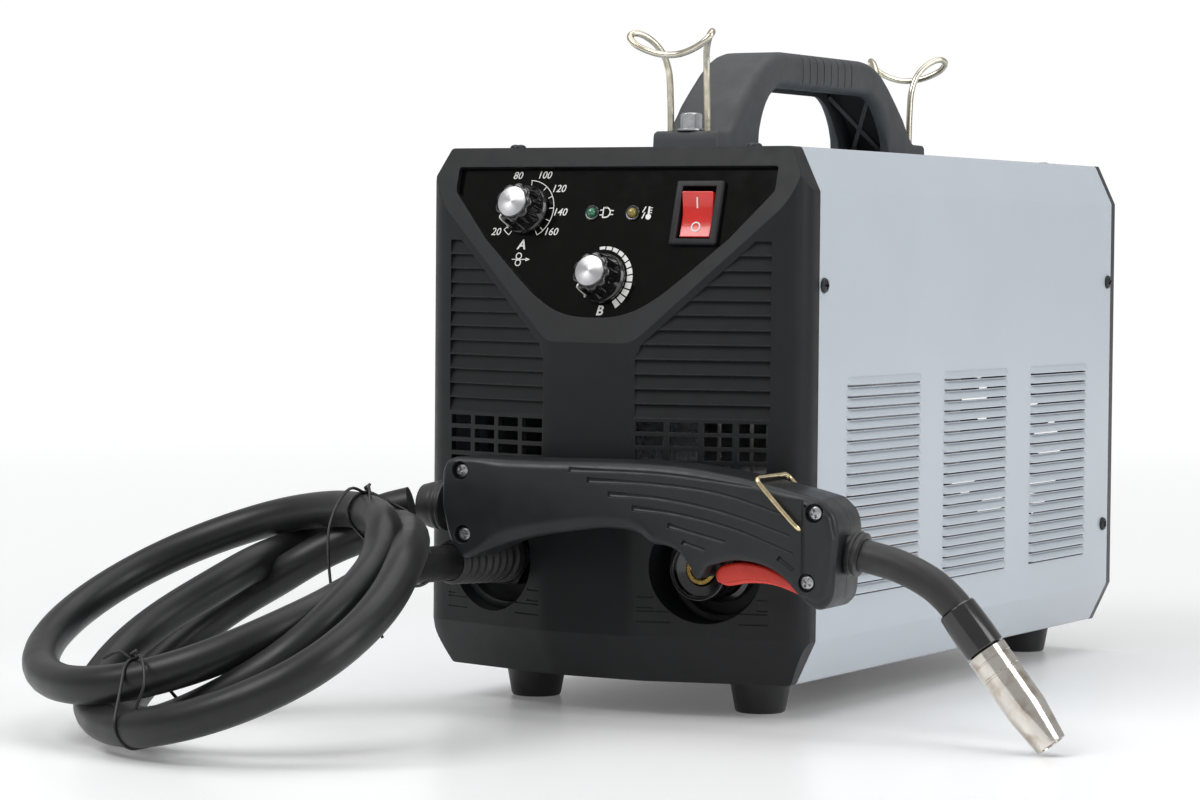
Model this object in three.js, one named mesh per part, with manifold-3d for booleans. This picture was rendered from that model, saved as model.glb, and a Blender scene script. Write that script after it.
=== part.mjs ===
// Compact wire-feed welder on four rubber feet, with its torch, coiled torch lead and two wire torch rests.
// Millimetres, +Z up. X runs to the right seen from the front, Y runs from the front towards the back.
import * as THREE from 'three';
import { mergeVertices } from 'three/addons/utils/BufferGeometryUtils.js';
import Module from 'manifold-3d';

const wasm = await Module();
wasm.setup();

// ---------- Driving dimensions ----------
const CASE_HALF = 102.5; // half width of the case
const CASE_BOTTOM = 17;
const CASE_TOP = 269;
const CHAMFER_X = 10; // corner chamfers of the octagonal case section
const CHAMFER_Z = 21;
const JOINT_Y = 19; // where the front panel meets the sheet-metal cover
const COVER_REAR = 388.6;
const CASE_REAR = 394;
const SHEET = 1.5; // sheet-metal thickness
const WALL = 3; // moulded wall thickness
const GAP = 0.3; // between pieces that touch

const STRIP_HALF = 23.2; // flat centre strip of the front panel
const STRIP_Y = -17.5;
const SLOPE = THREE.MathUtils.degToRad(15.5); // the panel's two sides slope back
const LEAN = THREE.MathUtils.degToRad(16.5); // the control facet leans back
const LEAN_FOOT_Z = 176.3;

const RECESS_X = 58; // connector recesses
const RECESS_Z = 72;
const RECESS_R = 26;
const RECESS_FLOOR_Y = 13;

const KNOB_CURRENT = [-47, 66]; // places on the control facet: across, and up from its foot
const KNOB_VOLTAGE = [1.3, 32];
const LED_POWER = [-10.5, 64.8];
const LED_FAULT = [11.5, 64.8];
const SWITCH = [46.5, 64.6];
const SWITCH_REST = THREE.MathUtils.degToRad(9); // rocker tilt in the OFF position

const FOOT_X = 62;
const FOOT_Y = [43, 366];

const HANDLE_MID_Y = 201;
const HANDLE_HALF_X = 18;
const HANDLE_TOP = 321.5;
const HANDLE_BOLT_Y = 117; // bolts and torch rests, from the middle of the handle
const HOOK_LEG_Y = 119.3;
const HOOK_LEG_X = 10.2;
const HOOK_WIRE_R = 1.65;

const DOOR_Y = [45, 345];
const DOOR_Z = [45, 240];
const LATCH = [61, 142.5]; // middle of the door latch, in y and z
const LOUVRE_COLUMNS = [[51, 134], [164, 243], [276, 353]];
const LOUVRE_ROWS = 20;
const LOUVRE_Z = 59;
const LOUVRE_PITCH = 5.25;
const DIVIDER_X = -20; // wall between the wire bay and the electronics

const SPOOL_Y = 262;
const SPOOL_Z = 140;
const WIRE_LINE_X = -58;
const ROLL_Y = 82;
const DRIVE_ROLL_Z = 57;
const DRIVE_ROLL_R = 15;
const PRESSURE_ROLL_R = 11;

const PRESSURE_PIVOT = [116, 90]; // pivot of the pressure arm, in y and z

const FAN_X = 42;
const FAN_Y = 374;
const FAN_Z = 110;
const MAINS_X = -60; // mains lead's gland on the rear panel
const MAINS_Z = 60;

const CABLE_R = 8.5;
const TORCH_AT = [-60, -46]; // rear end of the torch handle
const TORCH_TURN = THREE.MathUtils.degToRad(4);
const TORCH_HALF = 16.5; // half width of the torch handle
const NECK_END = [260.1, 56]; // along and up, in the torch's own plane
const NECK_DIP = THREE.MathUtils.degToRad(-52.2);

// ---------- Colours and finishes ----------
const FINISH = {
  cover: { color: 0xb9c2cc, roughness: 0.35, metalness: 0.1 },
  panel: { color: 0x242628, roughness: 0.5, metalness: 0 },
  plate: { color: 0x0b0a0a, roughness: 0.12, metalness: 0 },
  grip: { color: 0x4b4e50, roughness: 0.6, metalness: 0 },
  torch: { color: 0x2d3032, roughness: 0.5, metalness: 0 },
  rubber: { color: 0x18191a, roughness: 0.7, metalness: 0 },
  red: { color: 0xd2281e, roughness: 0.25, metalness: 0 },
  brass: { color: 0xc9a24a, roughness: 0.3, metalness: 1 },
  nickel: { color: 0xc4c2bc, roughness: 0.2, metalness: 1 },
  copper: { color: 0xb5703f, roughness: 0.35, metalness: 1 },
  steel: { color: 0x9a9ca0, roughness: 0.4, metalness: 1 },
  zinc: { color: 0xa9acb0, roughness: 0.45, metalness: 0.9 },
  aluminium: { color: 0xc8c9cb, roughness: 0.35, metalness: 1 },
  board: { color: 0x1f5a35, roughness: 0.5, metalness: 0 },
  green: { color: 0x1c7a4c, roughness: 0.2, metalness: 0 },
  amber: { color: 0x8a7414, roughness: 0.2, metalness: 0 },
  spool: { color: 0x2a2c30, roughness: 0.5, metalness: 0 },
};

// ---------- Solid helpers ----------
const X = new THREE.Vector3(1, 0, 0);
const Y = new THREE.Vector3(0, 1, 0);
const Z = new THREE.Vector3(0, 0, 1);
const basis = (a, b, c) => new THREE.Matrix4().makeBasis(a, b, c);

// A geometry as one closed solid with its faces turned outwards.
function solid(geometry) {
  const bare = new THREE.BufferGeometry().setAttribute('position', geometry.getAttribute('position'));
  bare.setIndex(geometry.index);
  const merged = mergeVertices(bare, 1e-4);
  const triangles = [];
  for (let i = 0; i < merged.index.count; i += 3) {
    const [a, b, c] = merged.index.array.slice(i, i + 3);
    if (a !== b && b !== c && c !== a) triangles.push(a, b, c);
  }
  const build = (triVerts) => new wasm.Manifold(new wasm.Mesh({
    numProp: 3,
    vertProperties: merged.attributes.position.array,
    triVerts: new Uint32Array(triVerts),
  }));
  const body = build(triangles);
  return body.volume() < 0 ? build(triangles.reverse()) : body;
}

function geometryOf(body) {
  const mesh = body.getMesh();
  const geometry = new THREE.BufferGeometry();
  geometry.setAttribute('position', new THREE.BufferAttribute(mesh.vertProperties, 3));
  geometry.setIndex(new THREE.BufferAttribute(mesh.triVerts, 1));
  geometry.computeVertexNormals();
  return geometry;
}

const cut = (base, ...tools) => geometryOf(
  tools.reduce((body, tool) => body.subtract(solid(tool)), solid(base)));
const join = (base, ...more) => geometryOf(
  more.reduce((body, piece) => body.add(solid(piece)), solid(base)));
const common = (a, b) => geometryOf(solid(a).intersect(solid(b)));

const box = (x0, x1, y0, y1, z0, z1) => new THREE.BoxGeometry(x1 - x0, y1 - y0, z1 - z0)
  .translate((x0 + x1) / 2, (y0 + y1) / 2, (z0 + z1) / 2);

const outline = (points) => new THREE.Shape(points.map(([a, b]) => new THREE.Vector2(a, b)));

function extrude(shape, depth, more = {}) {
  return new THREE.ExtrudeGeometry(shape, { depth, bevelEnabled: false, curveSegments: 5, ...more });
}

// A shape drawn in (y, z) and extruded along X, in (x, z) along Y, or in (x, y) along Z.
const uprightY = (geometry) => geometry.applyMatrix4(basis(X, Z, Y.clone().negate()));
const alongX = (shape, x0, x1) => extrude(shape, x1 - x0).applyMatrix4(basis(Y, Z, X)).translate(x0, 0, 0);
const alongY = (shape, y0, y1) => uprightY(extrude(shape, y1 - y0)).translate(0, y1, 0);
const alongZ = (shape, z0, z1) => extrude(shape, z1 - z0).translate(0, 0, z0);

// A profile of [radius, distance] turned about an axis through a point.
function turned(profile, point, axis, segments = 20) {
  const lathe = new THREE.LatheGeometry(profile.map(([r, t]) => new THREE.Vector2(r, t)), segments);
  const aim = new THREE.Quaternion().setFromUnitVectors(Y, new THREE.Vector3(...axis).normalize());
  return lathe.applyQuaternion(aim).translate(...point);
}

const rod = (radius, from, to, point, axis, segments) => turned(
  [[0, from], [radius, from], [radius, to], [0, to]], point, axis, segments);

const ring = (outer, inner, from, to, point, axis, segments) => turned(
  [[inner, from], [outer, from], [outer, to], [inner, to], [inner, from]], point, axis, segments);

function tube(points, radius, sides, steps) {
  const route = new THREE.CatmullRomCurve3(points.map((p) => new THREE.Vector3(...p)), false, 'centripetal');
  const circle = outline(Array.from({ length: sides }, (_, i) => {
    const angle = (2 * Math.PI * i) / sides;
    return [radius * Math.cos(angle), radius * Math.sin(angle)];
  }));
  return new THREE.ExtrudeGeometry(circle, { steps, extrudePath: route, bevelEnabled: false });
}

// Horizontal sections with equal numbers of points, joined by ruled sides.
function loft(sections) {
  const count = sections[0].points.length;
  const corners = sections.flatMap(({ z, points }) => points.flatMap(([x, y]) => [x, y, z]));
  const index = [];
  sections.slice(1).forEach((_, k) => {
    for (let i = 0; i < count; i++) {
      const [a, b] = [k * count + i, k * count + ((i + 1) % count)];
      index.push(a, b, b + count, a, b + count, a + count);
    }
  });
  const cap = (k, flip) => {
    const flat = sections[k].points.map(([x, y]) => new THREE.Vector2(x, y));
    for (const [a, b, c] of THREE.ShapeUtils.triangulateShape(flat, [])) {
      index.push(...(flip ? [c, b, a] : [a, b, c]).map((i) => i + k * count));
    }
  };
  cap(0, true);
  cap(sections.length - 1, false);
  const geometry = new THREE.BufferGeometry();
  geometry.setAttribute('position', new THREE.Float32BufferAttribute(corners, 3));
  geometry.setIndex(index);
  return geometry;
}

const machine = new THREE.Group();
const torch = new THREE.Group();
torch.position.set(...TORCH_AT, 0);
torch.rotation.z = TORCH_TURN;
const lead = new THREE.Group();

function add(group, name, finish, geometry) {
  const mesh = new THREE.Mesh(geometryOf(solid(geometry)), new THREE.MeshStandardMaterial(FINISH[finish]));
  mesh.name = name;
  group.add(mesh);
}

// ---------- Case outlines ----------
// The octagonal case section, drawn in (x, z) and shrunk by an inset.
function caseSection(inset) {
  const half = CASE_HALF - inset;
  const [low, high] = [CASE_BOTTOM + inset, CASE_TOP - inset];
  const [cx, cz] = [CHAMFER_X - inset * 0.2, CHAMFER_Z - inset * 0.6];
  return [
    [-half + cx, low], [half - cx, low], [half, low + cz], [half, high - cz],
    [half - cx, high], [-half + cx, high], [-half, high - cz], [-half, low + cz],
  ];
}

// The front panel's plan outline: flat strip, sloping sides and rounded ends.
function panelPlan(inset, stripY, backY) {
  const side = (x) => STRIP_Y + (x - STRIP_HALF) * Math.tan(SLOPE) + inset * 1.04;
  const half = CASE_HALF - inset;
  const right = [
    [STRIP_HALF, stripY + inset], [70, side(70)],
    [91, side(91)], [half - 4.5, side(91) + 3], [half - 1, side(91) + 7], [half, 14], [half, backY],
  ];
  return [...right, ...right.map(([x, y]) => [-x, y]).reverse()];
}

// Everything in front of the leaning control facet, moved inwards by an inset.
function leanWedge(inset) {
  const shift = inset / Math.cos(LEAN);
  const top = 290;
  const at = (z) => STRIP_Y + shift + (z - LEAN_FOOT_Z) * Math.tan(LEAN);
  return alongX(outline([[-60, 150], [at(150), 150], [at(top), top], [-60, top]]), -120, 120);
}

// The control facet's own frame: across, up along it, and out of it.
const facetUp = new THREE.Vector3(0, Math.sin(LEAN), Math.cos(LEAN));
const facetOut = new THREE.Vector3(0, -Math.cos(LEAN), Math.sin(LEAN));
const facet = basis(X, facetUp, facetOut).setPosition(0, STRIP_Y, LEAN_FOOT_Z);
const onFacet = (geometry) => geometry.applyMatrix4(facet);

// The control plate's outline, grown by a margin.
function plateOutline(grow) {
  const [top, side, low] = [87 + grow, 86.6 + grow, 12.3 - grow];
  const knee = 74.2 - grow * 0.45;
  const foot = 27 + grow * 0.45;
  return outline([
    [-foot, low + 2.2], [-foot + 7, low], [foot - 7, low], [foot, low + 2.2],
    [side, knee], [side, top], [-side, top], [-side, knee],
  ]);
}

// ---------- Front panel and what it carries ----------
function frontPanel() {
  const outer = common(
    loft([
      { z: CASE_BOTTOM, points: panelPlan(0, -5.5, JOINT_Y) },
      { z: CASE_BOTTOM + 22, points: panelPlan(0, STRIP_Y, JOINT_Y) },
      { z: CASE_TOP, points: panelPlan(0, STRIP_Y, JOINT_Y) },
    ]),
    alongY(outline(caseSection(0)), -60, 60));
  const shell = cut(outer, leanWedge(0));
  const hollow = cut(
    common(
      loft([
        { z: CASE_BOTTOM + WALL, points: panelPlan(WALL, -5.5, JOINT_Y + 5) },
        { z: CASE_BOTTOM + 23, points: panelPlan(WALL, STRIP_Y, JOINT_Y + 5) },
        { z: CASE_TOP - WALL, points: panelPlan(WALL, STRIP_Y, JOINT_Y + 5) },
      ]),
      alongY(outline(caseSection(WALL)), -60, 60)),
    leanWedge(WALL));
  let panel = cut(shell, hollow, onFacet(alongZ(plateOutline(0), -8, 8)));
  for (const side of [-1, 1]) {
    const at = [side * RECESS_X, 0, RECESS_Z];
    const cup = common(rod(RECESS_R + WALL, -40, RECESS_FLOOR_Y + WALL, at, [0, 1, 0], 32), shell);
    panel = join(panel, cup);
    panel = cut(panel, rod(RECESS_R, -60, RECESS_FLOOR_Y, at, [0, 1, 0], 32), rod(9, 0, 30, at, [0, 1, 0]));
    panel = cut(panel, ...grilleWindows(side));
  }
  return panel;
}

// Four by four open windows on a sloping side of the panel.
function grilleWindows(side) {
  const across = new THREE.Vector3(Math.cos(SLOPE), side * Math.sin(SLOPE), 0);
  const out = new THREE.Vector3(side * Math.sin(SLOPE), -Math.cos(SLOPE), 0);
  const frame = basis(across, Z, out).setPosition(side * STRIP_HALF, STRIP_Y, 0);
  const windows = [];
  for (let column = 0; column < 4; column++) {
    for (let row = 0; row < 4; row++) {
      const a = side * (8.9 + column * 16.4);
      const z = 118 + row * 6.5;
      windows.push(box(a - 6.8, a + 6.8, z - 2.2, z + 2.2, -6, 4).applyMatrix4(frame));
    }
  }
  return windows;
}

const PLATE_FRONT = -WALL - GAP; // the plate sits behind the panel's window

function controlPlate() {
  const hole = (place, radius) => rod(radius, -20, 5, [...place, 0], [0, 0, 1], 14);
  const [u, v] = SWITCH;
  return onFacet(cut(alongZ(plateOutline(4), PLATE_FRONT - 2.5, PLATE_FRONT),
    hole(KNOB_CURRENT, 4), hole(KNOB_VOLTAGE, 4), hole(LED_POWER, 3.1), hole(LED_FAULT, 3.1),
    box(u - 10.8, u + 10.8, v - 14.6, v + 14.6, -20, 5)));
}

function knob(place) {
  return onFacet(turned([
    [0, -9.5], [3, -9.5], [3, 0.5], [12, 0.5], [12, 3], [10.6, 4.2], [9.4, 13.6], [8.6, 14.2], [0, 14.2],
  ], [...place, PLATE_FRONT], [0, 0, 1], 24));
}

const knobCap = (place) => onFacet(rod(7.4, 14.5, 15.6, [...place, PLATE_FRONT], [0, 0, 1], 24));
const potentiometer = (place) => onFacet(
  ring(8, 3.4, -12.5, -2.5 - GAP, [...place, PLATE_FRONT], [0, 0, 1], 16));

function led(place) {
  return onFacet(turned([
    [0, -7], [2.8, -7], [2.8, GAP], [3.7, GAP], [3.7, 1], [2.4, 1.1], [2, 2.2], [1, 2.9], [0, 3],
  ], [...place, PLATE_FRONT], [0, 0, 1], 14));
}

function switchBody() {
  const [u, v] = SWITCH;
  const base = PLATE_FRONT + GAP;
  return onFacet(cut(
    join(box(u - 12.6, u + 12.6, v - 15.8, v + 15.8, base, base + 2),
      box(u - 10.2, u + 10.2, v - 14, v + 14, base - 22, base + 1)),
    box(u - 8.6, u + 8.6, v - 12.7, v + 12.7, base - 19, base + 5)));
}

// The rocker's side profile, drawn in (up, out) about its pivot and tilted to OFF.
function switchRocker() {
  const [u, v] = SWITCH;
  const profile = outline([[-11, 6.5], [0, 4.4], [11, 6.5], [10.4, 1], [3, -5], [-3, -5], [-10.4, 1]]);
  return onFacet(alongX(profile, -8.2, 8.2)
    .rotateX(SWITCH_REST)
    .translate(u, v, PLATE_FRONT - 3.7));
}

function socketCollar() {
  const at = [RECESS_X, 0, RECESS_Z];
  const front = -15.5;
  return turned([
    [8, front + 4], [13, front + 3], [13, front], [14.6, front], [14.6, 6], [17, 7],
    [17, RECESS_FLOOR_Y - GAP], [8, RECESS_FLOOR_Y - GAP], [8, front + 4],
  ], at, [0, 1, 0], 28);
}

const socketInsert = () => turned([
  [0, 30], [7.4, 30], [7.4, -12.5], [4.8, -12.5], [4.8, 8], [0, 8],
], [RECESS_X, 0, RECESS_Z], [0, 1, 0], 24);

// Ribbed rubber sleeve that the torch lead leaves through.
function strainRelief() {
  const profile = [[0, 1], [13, 1], [13, 6]];
  for (let rib = 0; rib < 7; rib++) {
    const t = 8 + rib * 6;
    const r = 12.6 - rib * 0.32;
    profile.push([r - 1.8, t], [r, t + 0.8], [r, t + 3.2], [r - 1.8, t + 4]);
  }
  profile.push([9.4, 50], [0, 50]);
  return turned(profile, [-RECESS_X, 3, RECESS_Z], [0, -1, 0], 12);
}

const glandNut = () => turned(
  [[0, 22], [8, 22], [8, RECESS_FLOOR_Y - GAP], [16, RECESS_FLOOR_Y - GAP], [16, 2.6], [0, 2.6]],
  [-RECESS_X, 0, RECESS_Z], [0, 1, 0], 6);

// ---------- Case ----------
function cover() {
  const skin = cut(
    alongY(outline(caseSection(0)), JOINT_Y + GAP, COVER_REAR),
    alongY(outline(caseSection(SHEET)), 0, 400),
    box(-91.5, 91.5, 0, 400, 0, 30));
  const [y0, y1] = DOOR_Y;
  const [z0, z1] = DOOR_Z;
  return cut(skin, box(-110, -90, y0, y1, z0, z1), ...coverSlots());
}

// Three columns of narrow louvre slots in the right side.
function coverSlots() {
  const slots = [];
  for (const [y0, y1] of LOUVRE_COLUMNS) {
    for (let row = 0; row < LOUVRE_ROWS; row++) {
      const z = LOUVRE_Z + row * LOUVRE_PITCH;
      slots.push(box(95, 110, y0, y1, z, z + 1.6));
    }
  }
  return slots;
}

function sideDoor() {
  const [y0, y1] = DOOR_Y;
  const [z0, z1] = DOOR_Z;
  return cut(
    box(-CASE_HALF, -CASE_HALF + SHEET, y0 + 0.5, y1 - 0.5, z0 + 0.5, z1 - 0.5),
    rod(4.4, -110, -90, [0, ...LATCH], [1, 0, 0], 12));
}

// Quarter-turn latch, unlocked: a slotted round head outside and a tongue that hangs down inside.
function doorLatch() {
  const [y, z] = LATCH;
  const at = [0, ...LATCH];
  const inside = -CASE_HALF + SHEET;
  return cut(
    join(rod(9, -106, -CASE_HALF - GAP, at, [1, 0, 0], 18), rod(4, -103, inside + 4, at, [1, 0, 0], 12),
      box(inside + 2, inside + 4, y - 4, y + 4, z - 22, z + 5)),
    box(-107, -104.4, y - 1.2, y + 1.2, z - 7, z + 7));
}

function rearPanel() {
  const plate = alongY(outline(caseSection(0)), COVER_REAR + GAP, CASE_REAR);
  const rows = Array.from({ length: 9 }, (_, i) => {
    const dz = (i - 4) * 9;
    const half = Math.sqrt(42 * 42 - dz * dz) - 2;
    return box(FAN_X - half, FAN_X + half, 380, 400, FAN_Z + dz - 3, FAN_Z + dz + 3);
  });
  return cut(plate, ...rows, rod(8.4, 370, 400, [MAINS_X, 0, MAINS_Z], [0, 1, 0]));
}

// Inlet gland of the mains lead.
const mainsGland = () => turned([
  [8, 380], [8, CASE_REAR + GAP], [12.5, CASE_REAR + GAP], [12.5, CASE_REAR + 7], [10, CASE_REAR + 9],
  [9, CASE_REAR + 16], [5.5, CASE_REAR + 16], [5.5, 380], [8, 380],
], [MAINS_X, 0, MAINS_Z], [0, 1, 0], 16);

const basePlate = () => box(-91, 91, JOINT_Y + GAP, COVER_REAR, CASE_BOTTOM, CASE_BOTTOM + SHEET);

const foot = (x, y) => turned([
  [0, 0], [11.4, 0], [12.2, 0.8], [15, CASE_BOTTOM - GAP], [0, CASE_BOTTOM - GAP],
], [x, y, 0], [0, 0, 1], 20);

// ---------- Carry handle and torch rests ----------
function carryHandle() {
  const mirrored = (points) => [...points, ...points.map(([y, z]) => [-y, z]).reverse()]
    .map(([y, z]) => [HANDLE_MID_Y + y, z]);
  const base = CASE_TOP + GAP;
  const outer = outline(mirrored([
    [-124, base], [-124, 279], [-109, 279], [-105, 284],
    [-98, 293], [-78, 309], [-62, 318], [-46, HANDLE_TOP],
  ]));
  const arch = outline(mirrored([[-78, base - 5], [-78, 279], [-66, 296], [-57, 301.5], [-48, 303]]));
  const channel = outline(mirrored([[-104, base - 5], [-96, 281], [-74, 304], [-58, 313], [-45, 316.5]]));
  const bolt = (side) => rod(2.6, 250, 300, [0, HANDLE_MID_Y + side * HANDLE_BOLT_Y, 0], [0, 0, 1], 12);
  const notch = (x, side) => box(x - 2.2, x + 2.2, -4.6, 4.6, 260, 300)
    .translate(0, HANDLE_MID_Y + side * 122, 0);
  const notches = [-1, 1].flatMap((side) => [notch(-HOOK_LEG_X, side), notch(HOOK_LEG_X, side), bolt(side)]);
  return cut(alongX(outer, -HANDLE_HALF_X, HANDLE_HALF_X), alongX(arch, -30, 30),
    alongX(channel, -12.5, 12.5), ...notches);
}

function handleBolt(side) {
  const at = [0, HANDLE_MID_Y + side * HANDLE_BOLT_Y, 0];
  const head = turned([[0, 279.6], [5.2, 279.6], [5.2, 287], [4.4, 288], [0, 288]], at, Z.toArray(), 6);
  return join(head, rod(2.2, CASE_TOP + 0.6, 280, at, Z.toArray(), 10));
}

// Bent wire rest: two legs, outward loops at their tops and a dipped saddle between the tips.
function wireHook(side) {
  const half = [
    [HOOK_LEG_X, 0, 1.6], [HOOK_LEG_X, 0, 12], [HOOK_LEG_X, -0.6, 26], [10.6, -2.2, 40],
    [12.5, -6, 49], [17, -12, 55.5], [21.2, -17, 57.6], [22.4, -20.4, 56],
    [19.5, -22, 52.4], [12, -21.4, 48.6], [4, -20.6, 46.6],
  ];
  const route = [...half, ...half.map(([x, y, z]) => [-x, y, z]).reverse()];
  const placed = route.map(([x, y, z]) => [x, HANDLE_MID_Y + side * (HOOK_LEG_Y - y), CASE_TOP + z]);
  return tube(placed, HOOK_WIRE_R, 6, 32);
}

// ---------- Inside: electronics ----------
const mainBoard = () => box(-8, 90, 60, 340, 178, 179.6);

function heatSink() {
  const fins = Array.from({ length: 9 }, (_, i) => box(4 + i * 9, 6.2 + i * 9, 90, 240, 110, 168));
  return join(box(4, 78.2, 90, 240, 166, 172), ...fins);
}

function transformer() {
  const windows = [box(22, 36, 110, 210, 44, 81), box(50, 64, 110, 210, 44, 81)];
  const core = cut(box(8, 78, 120, 200, 30, 95), ...windows);
  return join(core, box(30, 56, 112, 208, 42, 83));
}

const fanFrame = () => cut(
  box(FAN_X - 46, FAN_X + 46, 362, 387, FAN_Z - 46, FAN_Z + 46),
  rod(43, 350, 400, [FAN_X, 0, FAN_Z], [0, 1, 0], 28));

function fanRotor() {
  const at = [FAN_X, 0, FAN_Z];
  const blades = Array.from({ length: 7 }, (_, i) => box(-6, 6, -1, 1, 12, 41)
    .rotateZ(THREE.MathUtils.degToRad(35))
    .rotateY((2 * Math.PI * i) / 7)
    .translate(FAN_X, FAN_Y, FAN_Z));
  return join(rod(18, 366, 383, at, [0, 1, 0], 18), ...blades);
}

// ---------- Inside: wire bay ----------
function dividerWall() {
  const wall = box(DIVIDER_X - 2, DIVIDER_X, 24, 350, CASE_BOTTOM + SHEET + GAP, 240);
  const pivot = rod(4, DIVIDER_X - 30, DIVIDER_X - 1, [0, ...PRESSURE_PIVOT], [1, 0, 0], 14);
  return cut(join(wall, pivot), rod(6, -40, 0, [0, ROLL_Y, DRIVE_ROLL_Z], [1, 0, 0], 14),
    rod(5.2, -40, 0, [0, SPOOL_Y, SPOOL_Z], [1, 0, 0], 14));
}

const spoolSpindle = () => turned([
  [0, -DIVIDER_X - 3], [4.9, -DIVIDER_X - 3], [4.9, -DIVIDER_X + 2.3], [24, -DIVIDER_X + 2.3],
  [24, -DIVIDER_X + 5], [23, -DIVIDER_X + 5], [23, -DIVIDER_X + 62],
  [10, -DIVIDER_X + 68], [0, -DIVIDER_X + 68],
], [0, SPOOL_Y, SPOOL_Z], [-1, 0, 0], 24);

const wireSpool = () => turned([
  [23.4, 26], [70, 26], [70, 29], [40, 29], [40, 74], [70, 74], [70, 77], [23.4, 77], [23.4, 26],
], [0, SPOOL_Y, SPOOL_Z], [-1, 0, 0], 32);

const weldingWire = () => ring(60, 40.4, 29.4, 73.6, [0, SPOOL_Y, SPOOL_Z], [-1, 0, 0], 32);

const feedMotor = () => cut(
  join(rod(20, -17.6, 40, [0, ROLL_Y, DRIVE_ROLL_Z], [1, 0, 0], 20),
    box(-17.6, -10, ROLL_Y - 24, ROLL_Y + 24, DRIVE_ROLL_Z - 24, DRIVE_ROLL_Z + 24)),
  rod(4.4, -20, 10, [0, ROLL_Y, DRIVE_ROLL_Z], [1, 0, 0], 14));

const driveRoll = () => turned([
  [0, -8], [4, -8], [4, -WIRE_LINE_X - 6], [DRIVE_ROLL_R - 0.6, -WIRE_LINE_X - 6],
  [DRIVE_ROLL_R - 0.6, -WIRE_LINE_X - 0.8], [DRIVE_ROLL_R - 1.4, -WIRE_LINE_X],
  [DRIVE_ROLL_R - 0.6, -WIRE_LINE_X + 0.8], [DRIVE_ROLL_R - 0.6, -WIRE_LINE_X + 6], [0, -WIRE_LINE_X + 6],
], [0, ROLL_Y, DRIVE_ROLL_Z], [-1, 0, 0], 24);

// Arm that presses the upper roll onto the wire, with the roll's axle and the lug for the tension knob.
function pressureArm() {
  const wire = RECESS_Z;
  const rollZ = wire + PRESSURE_ROLL_R + 0.6;
  const plate = alongX(outline([
    [ROLL_Y - 34, rollZ - 4], [ROLL_Y - 34, rollZ + 5], [ROLL_Y + 4, rollZ + 9], [ROLL_Y + 40, wire + 26],
    [ROLL_Y + 42, wire + 14], [ROLL_Y + 30, wire + 10], [ROLL_Y, rollZ - 7],
  ]), -48, -43);
  const axle = rod(3, 44, 65, [0, ROLL_Y, rollZ], [-1, 0, 0], 12);
  const lug = box(-66, -45, ROLL_Y - 34, ROLL_Y - 18, rollZ - 4, rollZ + 3);
  return cut(join(plate, axle, lug),
    rod(4.3, -60, -20, [0, ...PRESSURE_PIVOT], [1, 0, 0], 14),
    rod(3.3, 0, 200, [-58, ROLL_Y - 26, 0], [0, 0, 1], 12));
}

const pressureRoll = () => ring(PRESSURE_ROLL_R - 0.2, 3.4, -WIRE_LINE_X - 6, -WIRE_LINE_X + 5,
  [0, ROLL_Y, RECESS_Z + PRESSURE_ROLL_R + 0.6], [-1, 0, 0], 20);

const tensionKnob = () => turned([
  [0, -6], [3, -6], [3, 3.4], [8, 3.4], [9, 8], [9, 22], [6, 25], [0, 25],
], [-58, ROLL_Y - 26, RECESS_Z + PRESSURE_ROLL_R + 0.6], [0, 0, 1], 16);

// Guide tube that carries the wire from the rolls into the torch lead.
const wireGuide = () => ring(5, 1.5, 23, ROLL_Y - 17, [WIRE_LINE_X, 0, RECESS_Z], [0, 1, 0], 14);

// ---------- Torch, drawn in its own plane: x along, y across, z up ----------
function torchOutline() {
  const shape = new THREE.Shape();
  const spline = (points) => shape.splineThru(points.map(([a, b]) => new THREE.Vector2(a, b)));
  shape.moveTo(5.5, 100);
  spline([[5.6, 117], [12, 123]]);
  spline([[55, 122.6], [98, 123], [127, 122], [155, 118.4], [182, 113], [196, 109.4]]);
  spline([[202.4, 103], [204.4, 92], [203, 77], [201.4, 64.5], [196, 60]]);
  shape.lineTo(189, 62.5);
  spline([[176, 75], [166, 79.3], [153, 80.4], [141, 77.5]]);
  shape.lineTo(136.5, 71);
  spline([[132.8, 76.6], [127, 83], [120, 85.6], [112, 86.2], [104.4, 90.6], [91.6, 92.2], [70, 90]]);
  spline([[41, 84.4], [22, 77.2]]);
  spline([[15.5, 77], [9.6, 85], [5.5, 100]]);
  return shape;
}

// One half of the torch handle; side -1 faces away from the case.
function torchHalf(side) {
  const body = uprightY(extrude(torchOutline(), 2 * TORCH_HALF, { curveSegments: 3 }))
    .translate(0, TORCH_HALF, 0);
  const half = side < 0 ? box(-20, 230, -40, -GAP / 2, 0, 140) : box(-20, 230, GAP / 2, 40, 0, 140);
  const channel = tube([
    [-5, 0, 98.6], [24, 0, 98.8], [60, 0, 104], [100, 0, 106], [150, 0, 102], [186, 0, 90], [212, 0, 83.5],
  ], 9, 12, 14);
  const pocket = box(139, 178, -7.3, 7.3, 60, 99);
  const heel = box(177, 192, -7.3, 7.3, 55, 77);
  const pivots = rod(1.6, -30, 30, [187, 0, 96], [0, 1, 0], 8);
  return cut(common(body, half), channel, pocket, heel, pivots);
}

function torchTrigger() {
  return uprightY(extrude(outline([
    [142, 69.6], [141.2, 73], [143, 76.4], [149, 78.6], [157, 79], [166, 77.4], [176, 73.2], [187, 67.2],
    [188.4, 65], [187, 63], [180, 66.2], [169, 69.4], [157, 69.6], [147, 68],
  ]), 13)).translate(0, 6.5, 0);
}

const triggerSwitch = () => join(box(150, 168, -4, 4, 86.6, 93), box(155, 158, -2, 2, 84.6, 88));

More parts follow.
